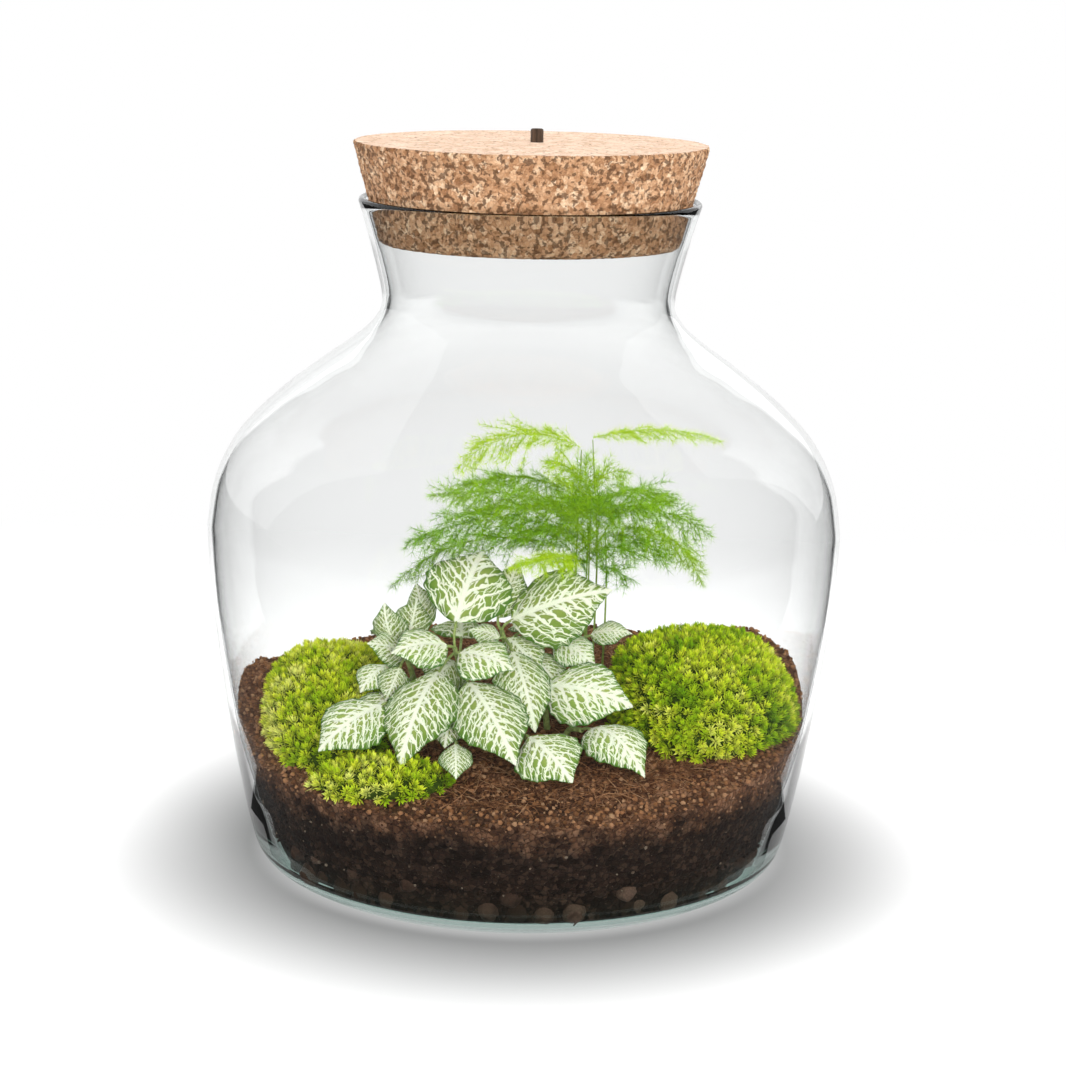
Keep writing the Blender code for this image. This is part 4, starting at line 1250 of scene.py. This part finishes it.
def leaf_mesh(settings, rows=44, half_columns=11, seed=0):
    """(points, faces, blade, margin) of a closed, slightly quilted leaf blade with a wavy margin."""
    base, tip, width, arch, facing, _ = settings
    base, tip = Vector(base), Vector(tip)
    along, across, out = blade_axes(base, tip, facing)
    length, half = (tip - base).length, LEAF_SPREAD * width / 2
    columns = 2 * half_columns + 1
    points, blade, margin, faces = [], [], [], []
    for skin in (1, -1):
        for i in range(rows + 1):
            t = LEAF_START + (1 - LEAF_START) * i / rows
            wide = max(leaf_half_width(t), 0.012)
            for k in range(columns):
                side = (k - half_columns) / half_columns
                edge = abs(side)
                spot = Vector((side * wide * 1.4, t * length / half, seed * 7.3))
                scallop = 1 + 0.028 * edge * math.sin(t * length * 1.15 + seed + (2.0 if side > 0 else 0.0))
                reach = half * wide * side * scallop
                start = t * length / half - VEIN_SLANT * edge * wide - VEIN_BEND * (edge * wide) ** 2
                quilt = 0.03 * half * math.cos(2 * math.pi * start / VEIN_SPACING + (math.pi if side > 0 else 0.0))
                quilt *= smoothstep(0.0, 0.25, edge) * (1 - 0.4 * edge) * smoothstep(0.0, 0.3, wide)
                ripple = 0.09 * half * edge**2 * noise.noise(spot * 1.5)
                groove = -0.05 * half * (1 - smoothstep(0.0, 0.16, edge)) * wide
                rise = 4 * arch * t * (1 - t) - LEAF_CURL * abs(reach) * edge
                thick = skin * LEAF_THICKNESS / 2 * (1 - edge**6 * 0.8)
                height = rise + quilt + ripple + groove + thick
                points.append(base + along * (length * t) + across * reach + out * height)
                blade.append((side * wide, t * length / half))
                margin.append(edge)
    count = (rows + 1) * columns
    for i in range(rows):
        for k in range(columns - 1):
            a = i * columns + k
            b = a + columns
            faces.append((a, a + 1, b + 1, b))
            faces.append((count + a, count + b, count + b + 1, count + a + 1))
        left, right = i * columns, i * columns + columns - 1
        faces.append((left, left + columns, count + left + columns, count + left))
        faces.append((right, count + right, count + right + columns, right + columns))
    for k in range(columns - 1):
        end = rows * columns + k
        faces.append((k, count + k, count + k + 1, k + 1))
        faces.append((end, end + 1, count + end + 1, count + end))
    return points, faces, blade, margin


def store_blade(leaf, blade, margin, pale):
    """The leaf's own coordinates for its veins."""
    layer = leaf.data.uv_layers.new(name="blade")
    corners = np.empty(len(leaf.data.loops), np.int32)
    leaf.data.loops.foreach_get("vertex_index", corners)
    layer.data.foreach_set("uv", np.array(blade)[corners].ravel())
    named_values(leaf, "margin", margin)
    named_values(leaf, "pale", np.full(len(margin), pale))


def stem_route(points, steps=6):
    """The stem's middle line, from its foot on the soil."""
    x, y = points[0]
    return [Vector(p) for p in smooth_through([(x, y, soil_height(x, y) - 1.5), *points[1:]], steps)]


def stalk_route(base, along, routes):
    """A curved stalk to the blade from the nearest stem, or from the soil behind it where no stem is near."""
    root = min((p for route in routes for p in route), key=lambda p: (p - base).length)
    if (root - base).length > 24.0:
        x, y = base.x + 2.0, base.y + 13.0
        root = Vector((x, y, soil_height(x, y) - 1.0))
    pull = base - along * (root - base).length * 0.45
    return [root * (1 - t) ** 2 + pull * 2 * t * (1 - t) + (base + along * 1.5) * t * t for t in np.linspace(0, 1, 9)]


def make_nerve_plant(rows):
    veins = bpy.data.node_groups["leaf_veins"]
    finish = nerve_leaf_finish(veins)
    stem_finish = soft_stem("nerve_stem", (0.2, 0.27, 0.07), (0.42, 0.5, 0.18), 700.0)
    routes = {name: stem_route(points) for name, points in NERVE_STEMS.items()}
    for number, (name, settings) in enumerate(NERVE_LEAVES.items()):
        points, faces, blade, margin = leaf_mesh(settings, rows, seed=number)
        leaf = add_mesh(name + "_blade", points, faces, [finish])
        store_blade(leaf, blade, margin, settings[5])
        finished(leaf, "nerve_leaf", name)
    for number, settings in enumerate(NERVE_FILL):
        points, faces, blade, margin = leaf_mesh(settings, rows, seed=50 + number)
        leaf = add_mesh(f"nerve_leaf_inner_{number}", points, faces, [finish])
        store_blade(leaf, blade, margin, settings[5])
        finished(leaf, "nerve_leaf")
    for name, route in routes.items():
        radii = np.linspace(1.35, 0.95, len(route))
        tubes = [[(p, r) for p, r in zip(route, radii)]]
        stem = add_mesh(name + "_skin", *tube_mesh(tubes, 10), [stem_finish])
        finished(stem, "nerve_stem", name)
    stalks = []
    for settings in [*NERVE_LEAVES.values(), *NERVE_FILL]:
        base, tip = Vector(settings[0]), Vector(settings[1])
        along, _, out = blade_axes(base, tip, settings[4])
        first = base + along * (tip - base).length * LEAF_START + out * 4 * settings[3] * LEAF_START
        route = stalk_route(first, along, routes.values())
        stalks.append([(p, 0.55) for p in route])
    finished(add_mesh("nerve_leaf_stalks", *tube_mesh(stalks, 8), [stem_finish]), "nerve_stem")


# ---- fern ----
def needle_tuft(name, seed):
    """Seven thin needles that spread round +Z, each about 4 mm long."""
    rng = np.random.default_rng(seed)
    points, faces, rise = [], [], []
    for k in range(7):
        angle = 2 * math.pi * (k + rng.uniform(-0.3, 0.3)) / 7
        lean = rng.uniform(0.35, 1.15)
        long = rng.uniform(2.8, 4.4)
        heading = Vector((math.sin(lean) * math.cos(angle), math.sin(lean) * math.sin(angle), math.cos(lean)))
        side = heading.orthogonal().normalized()
        other = heading.cross(side)
        first = len(points)
        for j in range(3):
            turn = 2 * math.pi * j / 3
            points.append((side * math.cos(turn) + other * math.sin(turn)) * 0.065)
        points.append(heading * long)
        rise += [0.0, 0.0, 0.0, 1.0]
        faces += [(first, first + 1, first + 3), (first + 1, first + 2, first + 3), (first + 2, first, first + 3)]
        faces.append((first + 2, first + 1, first))
    tuft = add_mesh(name, points, faces, smooth=False)
    named_values(tuft, "rise", rise)
    return tuft


def frond_half_width(t):
    """Share of the half width: narrow at the base, widest at a third, drawn out to the tip."""
    return 0.12 + 0.88 * max(math.sin(math.pi * min(max(t, 0.0), 1.0) ** 0.6), 0.0) ** 0.9


def frond_twigs(settings, rng, step):
    """Polylines of a feathery frond: its midrib, the side twigs all round it, and short twiglets on those."""
    base, tip, width, arch, facing, _, fluff = settings
    base, tip = Vector(base), Vector(tip)
    along, across, out = blade_axes(base, tip, facing)
    length = (tip - base).length

    def on_rib(t):
        sway = 1.2 * math.sin(5 * t + base.x)
        return base + along * (length * t) + out * (4 * arch * t * (1 - t)) + across * sway * t

    lines = [[on_rib(t) for t in np.linspace(0.0, 1.0, 16)]]
    count = int(length / step)
    for i in range(count):
        for side in (-1, 1):
            t = min((i + 0.5 + 0.25 * side + rng.uniform(-0.3, 0.3)) / count, 0.99)
            start = on_rib(t)
            ahead = (on_rib(min(t + 0.02, 1.0)) - on_rib(t - 0.02)).normalized()
            tilt = rng.uniform(-1.0, 1.0) * fluff
            outward = across * (side * math.cos(tilt)) + out * math.sin(tilt)
            reach = width / 2 * frond_half_width(t) * rng.uniform(0.7, 1.2)
            lean, droop = rng.uniform(0.35, 0.9), rng.uniform(0.1, 0.45)
            line = []
            for s in np.linspace(0.0, 1.0, 6):
                spot = start + outward * (reach * s * 0.92) + ahead * (reach * lean * s**1.25)
                line.append(spot - out * (reach * droop * s * s))
            lines.append(line)
            for place_on in (2, 3, 4):
                if reach < 5.0 or rng.random() < 0.35:
                    continue
                root = line[place_on]
                turn = (line[place_on + 1] - root).normalized() + Vector(rng.uniform(-0.8, 0.8, 3)) * (0.5 + fluff)
                short = rng.uniform(2.5, 5.0)
                knee = root + turn.normalized() * short * 0.5
                lines.append([root, knee, root + (turn + ahead * 0.3).normalized() * short])
    return lines


def frond_object(name, lines):
    """The frond's twigs as a mesh of edges that knows which way each twig grows."""
    points, edges, headings = [], [], []
    for line in lines:
        first = len(points)
        for k, point in enumerate(line):
            points.append(tuple(point * MM))
            headings.append((line[min(k + 1, len(line) - 1)] - line[max(k - 1, 0)]).normalized())
        edges += [(first + k, first + k + 1) for k in range(len(line) - 1)]
    mesh = bpy.data.meshes.new(name)
    mesh.from_pydata(points, edges, [])
    host = add_object(name, mesh, smooth=False)
    named_values(host, "heading", headings, "FLOAT_VECTOR")
    return host


def make_fern(step, spacing):
    spray = bpy.data.node_groups["fern_spray"]
    finish = fern_needle()
    tufts = stock("needle_tufts", *[needle_tuft(f"tuft_{k}", 40 + k) for k in range(4)])
    fill = {f"fern_inner_{k}": settings for k, settings in enumerate(FERN_FILL)}
    for number, (name, settings) in enumerate({**FERN_FRONDS, **fill}.items()):
        rng = np.random.default_rng(100 + number)
        host = frond_object(name + "_twigs", frond_twigs(settings, rng, step))
        made = grown(name + "_needles", host, spray, Copies=tufts, Spacing=spacing * MM, Thickness=0.1 * MM,
                     Smallest=0.75, Largest=1.15, Sway=0.35, Seed=60 + number, Finish=finish)
        named_values(made, "young", np.full(len(made.data.vertices), settings[5]))
        finished(made, "fern_spray", *([name] if name in FERN_FRONDS else []))
        discard(host)
    discard(tufts)
    stem_finish = soft_stem("fern_stem", (0.22, 0.32, 0.06), (0.42, 0.55, 0.14), 900.0)
    for name, points in FERN_STEMS.items():
        route = stem_route(points, 8)
        radii = np.linspace(0.5, 0.2, len(route))
        stem = add_mesh(name + "_skin", *tube_mesh([[(p, r) for p, r in zip(route, radii)]], 8), [stem_finish])
        finished(stem, "fern_stem", name)


# ---- stage ----
def mirrored_reach(y):
    """How far from the middle the jar mirrors the backdrop, in metres: wider further back."""
    return min(BRIGHT_REACH + BRIGHT_SPREAD * y, BRIGHT_LIMIT)


def sweep_strip(name, left, right, finish):
    """A strip of the backdrop between left(y) and right(y), in metres: flat behind the jar, then curving up."""
    curve = [(0.6 + 1.4 * math.sin(a), 1.4 - 1.4 * math.cos(a)) for a in np.linspace(0.1, math.pi / 2, 14)]
    sweep = [(BACK_FLOOR * MM, 0.0), (0.15, 0.0), (0.3, 0.0), (0.6, 0.0), *curve, (2.0, 4.0)]
    points, faces = [], []
    for y, z in sweep:
        points += [(left(y) / MM, y / MM, z / MM), (right(y) / MM, y / MM, z / MM)]
    for k in range(len(sweep) - 1):
        faces.append((2 * k, 2 * k + 1, 2 * k + 3, 2 * k + 2))
    strip = add_mesh(name, points, faces, [finish])
    return strip


def make_stage(paleness, glow):
    """A pale floor that sweeps up behind the jar.

    The jar mirrors only the disc it stands on and a wedge that widens away behind it, so its front stays clear.
    """
    finish = pale_floor("pale_floor", paleness, glow)
    plain_finish = pale_floor("pale_floor_not_mirrored", paleness, glow, mirrored=False)
    sweep_strip("floor_sweep", lambda y: -mirrored_reach(y), mirrored_reach, finish)
    sweep_strip("floor_sweep_left", lambda y: -STAGE_REACH, lambda y: -mirrored_reach(y), plain_finish)
    sweep_strip("floor_sweep_right", mirrored_reach, lambda y: STAGE_REACH, plain_finish)
    turns = np.linspace(0, 2 * math.pi, DISC_SIDES + 1)[:-1]
    reaches = [DISC_REACH + DISC_WIDER * smoothstep(-0.35, -0.1, math.sin(a)) for a in turns]
    ring = [(r * math.cos(a), min(r * math.sin(a), BACK_FLOOR)) for r, a in zip(reaches, turns)]
    disc = add_mesh("floor_under_jar", [(x, y, 0.0) for x, y in ring], [tuple(range(DISC_SIDES))], [finish])
    far = STAGE_REACH / MM
    outer = []
    for x, y in ring:
        reach = min(far / max(abs(x), 1e-6), (BACK_FLOOR if y > 0 else far) / max(abs(y), 1e-6))
        outer.append((x * reach, y * reach))
    corners = [(x, y, 0.0) for x, y in ring + outer]
    after = [(k + 1) % DISC_SIDES for k in range(DISC_SIDES)]
    faces = [(k, DISC_SIDES + k, DISC_SIDES + after[k], after[k]) for k in range(DISC_SIDES)]
    add_mesh("floor_front", corners, faces, [plain_finish])


def add_softbox(name, place_at, size, radiance, roll, in_glass):
    """A rectangular lamp. Only those marked in_glass are mirrored by the jar."""
    data = bpy.data.lights.new(name, "AREA")
    data.shape = "RECTANGLE"
    data.size, data.size_y = size
    data.energy = radiance * math.pi * size[0] * size[1]
    lamp = bpy.data.objects.new(name, data)
    turn = (Vector(LIGHTS_AIM) - Vector(place_at)).to_track_quat("-Z", "Y").to_matrix().to_4x4()
    lamp.matrix_world = Matrix.Translation(place_at) @ turn @ Matrix.Rotation(math.radians(roll), 4, "Z")
    lamp.visible_glossy = in_glass
    lamp.visible_transmission = False
    bpy.context.scene.collection.objects.link(lamp)


def add_camera(lens):
    data = bpy.data.cameras.new("camera")
    data.lens, data.sensor_width, data.sensor_fit = lens, 36.0, "HORIZONTAL"
    data.clip_start, data.clip_end = 0.01, 50.0
    camera = bpy.data.objects.new("camera", data)
    tilt = Matrix.Rotation(math.radians(CAMERA_TILT), 4, "X")
    camera.matrix_world = Matrix.Translation(CAMERA_PLACE) @ tilt @ Matrix.Rotation(math.radians(CAMERA_ROLL), 4, "Z")
    bpy.context.scene.collection.objects.link(camera)
    bpy.context.scene.camera = camera


# ---- settings ----
class TERRARIUM_PG_jar(bpy.types.PropertyGroup):
    segments: bpy.props.IntProperty(name="Segments", description="Facets round the jar", default=224, min=24)
    steps: bpy.props.IntProperty(name="Profile steps", description="Steps between profile points", default=7, min=1)


class TERRARIUM_PG_cork(bpy.types.PropertyGroup):
    segments: bpy.props.IntProperty(name="Segments", description="Facets round the cork", default=720, min=24)
    depth: bpy.props.FloatProperty(name="Chip depth", description="Depth of chips in its side, in mm", default=0.8)


class TERRARIUM_PG_soil(bpy.types.PropertyGroup):
    segments: bpy.props.IntProperty(name="Segments", description="Facets round the soil", default=256, min=24)
    rings: bpy.props.IntProperty(name="Rings", description="Rings of facets on its top", default=70, min=4)
    crumb_spacing: bpy.props.FloatProperty(
        name="Crumb spacing", description="Millimetres between crumbs", default=1.9
    )
    pebble_size: bpy.props.FloatProperty(name="Pebble size", description="Diameter in millimetres", default=9.4)


class TERRARIUM_PG_moss(bpy.types.PropertyGroup):
    spacing: bpy.props.FloatProperty(
        name="Shoot spacing", description="Millimetres between moss shoots", default=2.4
    )


class TERRARIUM_PG_plants(bpy.types.PropertyGroup):
    leaf_rows: bpy.props.IntProperty(name="Leaf rows", description="Rows of facets along a leaf", default=44, min=8)
    twig_step: bpy.props.FloatProperty(name="Twig step", description="Millimetres between side twigs", default=1.7)
    tuft_spacing: bpy.props.FloatProperty(name="Tuft spacing", description="Millimetres between tufts", default=2.0)


class TERRARIUM_PG_stage(bpy.types.PropertyGroup):
    floor_paleness: bpy.props.FloatProperty(
        name="Floor paleness", description="Share of light it returns", default=0.96
    )
    backdrop_glow: bpy.props.FloatProperty(
        name="Backdrop glow", description="Brightness of the backdrop", default=1.0
    )
    side_light: bpy.props.FloatProperty(
        name="Side light", description="Brightness of the side softboxes", default=0.75
    )
    fill_light: bpy.props.FloatProperty(name="Fill light", description="Brightness of the fill lights", default=4.2)
    front_light: bpy.props.FloatProperty(
        name="Front light", description="Brightness of the front light", default=7.9
    )
    top_light: bpy.props.FloatProperty(name="Top light", description="Brightness of the top light", default=3.4)
    room_light: bpy.props.FloatProperty(name="Room light", description="Grey light from the room", default=0.06)
    lens: bpy.props.FloatProperty(name="Lens", description="Focal length", default=81.2, unit="CAMERA")


# ---- operators ----
class TERRARIUM_OT_jar(bpy.types.Operator):
    """Blow the clear glass jar"""

    bl_idname = "terrarium.jar"
    bl_label = "Glass jar"

    def execute(self, context):
        settings = context.scene.terrarium_jar
        make_jar(settings.segments, settings.steps)
        return {"FINISHED"}


class TERRARIUM_OT_cork(bpy.types.Operator):
    """Press the cork stopper and set its peg"""

    bl_idname = "terrarium.cork"
    bl_label = "Cork and peg"

    def execute(self, context):
        settings = context.scene.terrarium_cork
        make_cork(settings.segments, settings.depth)
        make_peg()
        return {"FINISHED"}


class TERRARIUM_OT_soil(bpy.types.Operator):
    """Fill the jar with clay pebbles and soil"""

    bl_idname = "terrarium.soil"
    bl_label = "Pebbles and soil"

    def execute(self, context):
        settings = context.scene.terrarium_soil
        make_pebbles(settings.pebble_size)
        make_soil(settings.segments, settings.rings, settings.crumb_spacing)
        return {"FINISHED"}


class TERRARIUM_OT_moss(bpy.types.Operator):
    """Lay the moss cushions"""

    bl_idname = "terrarium.moss"
    bl_label = "Moss"

    def execute(self, context):
        make_moss(context.scene.terrarium_moss.spacing)
        return {"FINISHED"}


class TERRARIUM_OT_nerve_plant(bpy.types.Operator):
    """Grow the white-veined nerve plant"""

    bl_idname = "terrarium.nerve_plant"
    bl_label = "Nerve plant"

    def execute(self, context):
        make_nerve_plant(context.scene.terrarium_plants.leaf_rows)
        return {"FINISHED"}


class TERRARIUM_OT_fern(bpy.types.Operator):
    """Grow the feathery fern"""

    bl_idname = "terrarium.fern"
    bl_label = "Fern"

    def execute(self, context):
        settings = context.scene.terrarium_plants
        make_fern(settings.twig_step, settings.tuft_spacing)
        return {"FINISHED"}


class TERRARIUM_OT_stage(bpy.types.Operator):
    """Set the floor, the lights and the camera"""

    bl_idname = "terrarium.stage"
    bl_label = "Stage"

    def execute(self, context):
        settings = context.scene.terrarium_stage
        scene = context.scene
        make_stage(settings.floor_paleness, settings.backdrop_glow)
        for name, place_at, size, source, share, roll, in_glass in SOFTBOXES:
            add_softbox(name, place_at, size, getattr(settings, source) * share, roll, in_glass)
        room = bpy.data.worlds.new("room")
        room.use_nodes = True
        tree, light = room.node_tree, settings.room_light
        path = put(tree, "ShaderNodeLightPath").outputs
        bounces = plus(tree, path["Glossy Depth"], path["Diffuse Depth"])
        straight = maths(tree, "LESS_THAN", bounces, 0.5)
        shade = mixed(tree, straight, (light, light, light, 1.0), (1.0, 1.0, 1.0, 1.0))
        tree.links.new(shade, tree.nodes["Background"].inputs["Color"])
        scene.world = room
        scene.view_settings.view_transform = "Standard"
        scene.cycles.caustics_reflective = False
        add_camera(settings.lens)
        return {"FINISHED"}


class TERRARIUM_PT_panel(bpy.types.Panel):
    """Builds the terrarium piece by piece"""

    bl_idname = "TERRARIUM_PT_panel"
    bl_label = "Terrarium"
    bl_space_type = "VIEW_3D"
    bl_region_type = "UI"
    bl_category = "Terrarium"

    def draw(self, context):
        for group, operators in PANEL_ROWS:
            box = self.layout.box()
            settings = getattr(context.scene, group)
            for name in settings.__annotations__:
                box.prop(settings, name)
            for operator in operators:
                box.operator(operator)


PANEL_ROWS = (
    ("terrarium_jar", ("terrarium.jar",)),
    ("terrarium_cork", ("terrarium.cork",)),
    ("terrarium_soil", ("terrarium.soil",)),
    ("terrarium_moss", ("terrarium.moss",)),
    ("terrarium_plants", ("terrarium.nerve_plant", "terrarium.fern")),
    ("terrarium_stage", ("terrarium.stage",)),
)
SETTINGS = {
    "terrarium_jar": TERRARIUM_PG_jar,
    "terrarium_cork": TERRARIUM_PG_cork,
    "terrarium_soil": TERRARIUM_PG_soil,
    "terrarium_moss": TERRARIUM_PG_moss,
    "terrarium_plants": TERRARIUM_PG_plants,
    "terrarium_stage": TERRARIUM_PG_stage,
}
OPERATORS = (
    TERRARIUM_OT_jar,
    TERRARIUM_OT_cork,
    TERRARIUM_OT_soil,
    TERRARIUM_OT_moss,
    TERRARIUM_OT_nerve_plant,
    TERRARIUM_OT_fern,
    TERRARIUM_OT_stage,
)


def register():
    for name, group in SETTINGS.items():
        bpy.utils.register_class(group)
        setattr(bpy.types.Scene, name, bpy.props.PointerProperty(type=group))
    for operator in OPERATORS:
        bpy.utils.register_class(operator)
    bpy.utils.register_class(TERRARIUM_PT_panel)


def unregister():
    bpy.utils.unregister_class(TERRARIUM_PT_panel)
    for operator in reversed(OPERATORS):
        bpy.utils.unregister_class(operator)
    for name, group in SETTINGS.items():
        delattr(bpy.types.Scene, name)
        bpy.utils.unregister_class(group)


def main():
    register()
    granule_group()
    leaf_vein_group()
    scatter_tree()
    point_copies_tree()
    spray_tree()
    for _, operators in PANEL_ROWS:
        for name in operators:
            getattr(bpy.ops.terrarium, name.split(".")[1])()
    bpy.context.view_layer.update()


if __name__ == "__main__":
    main()
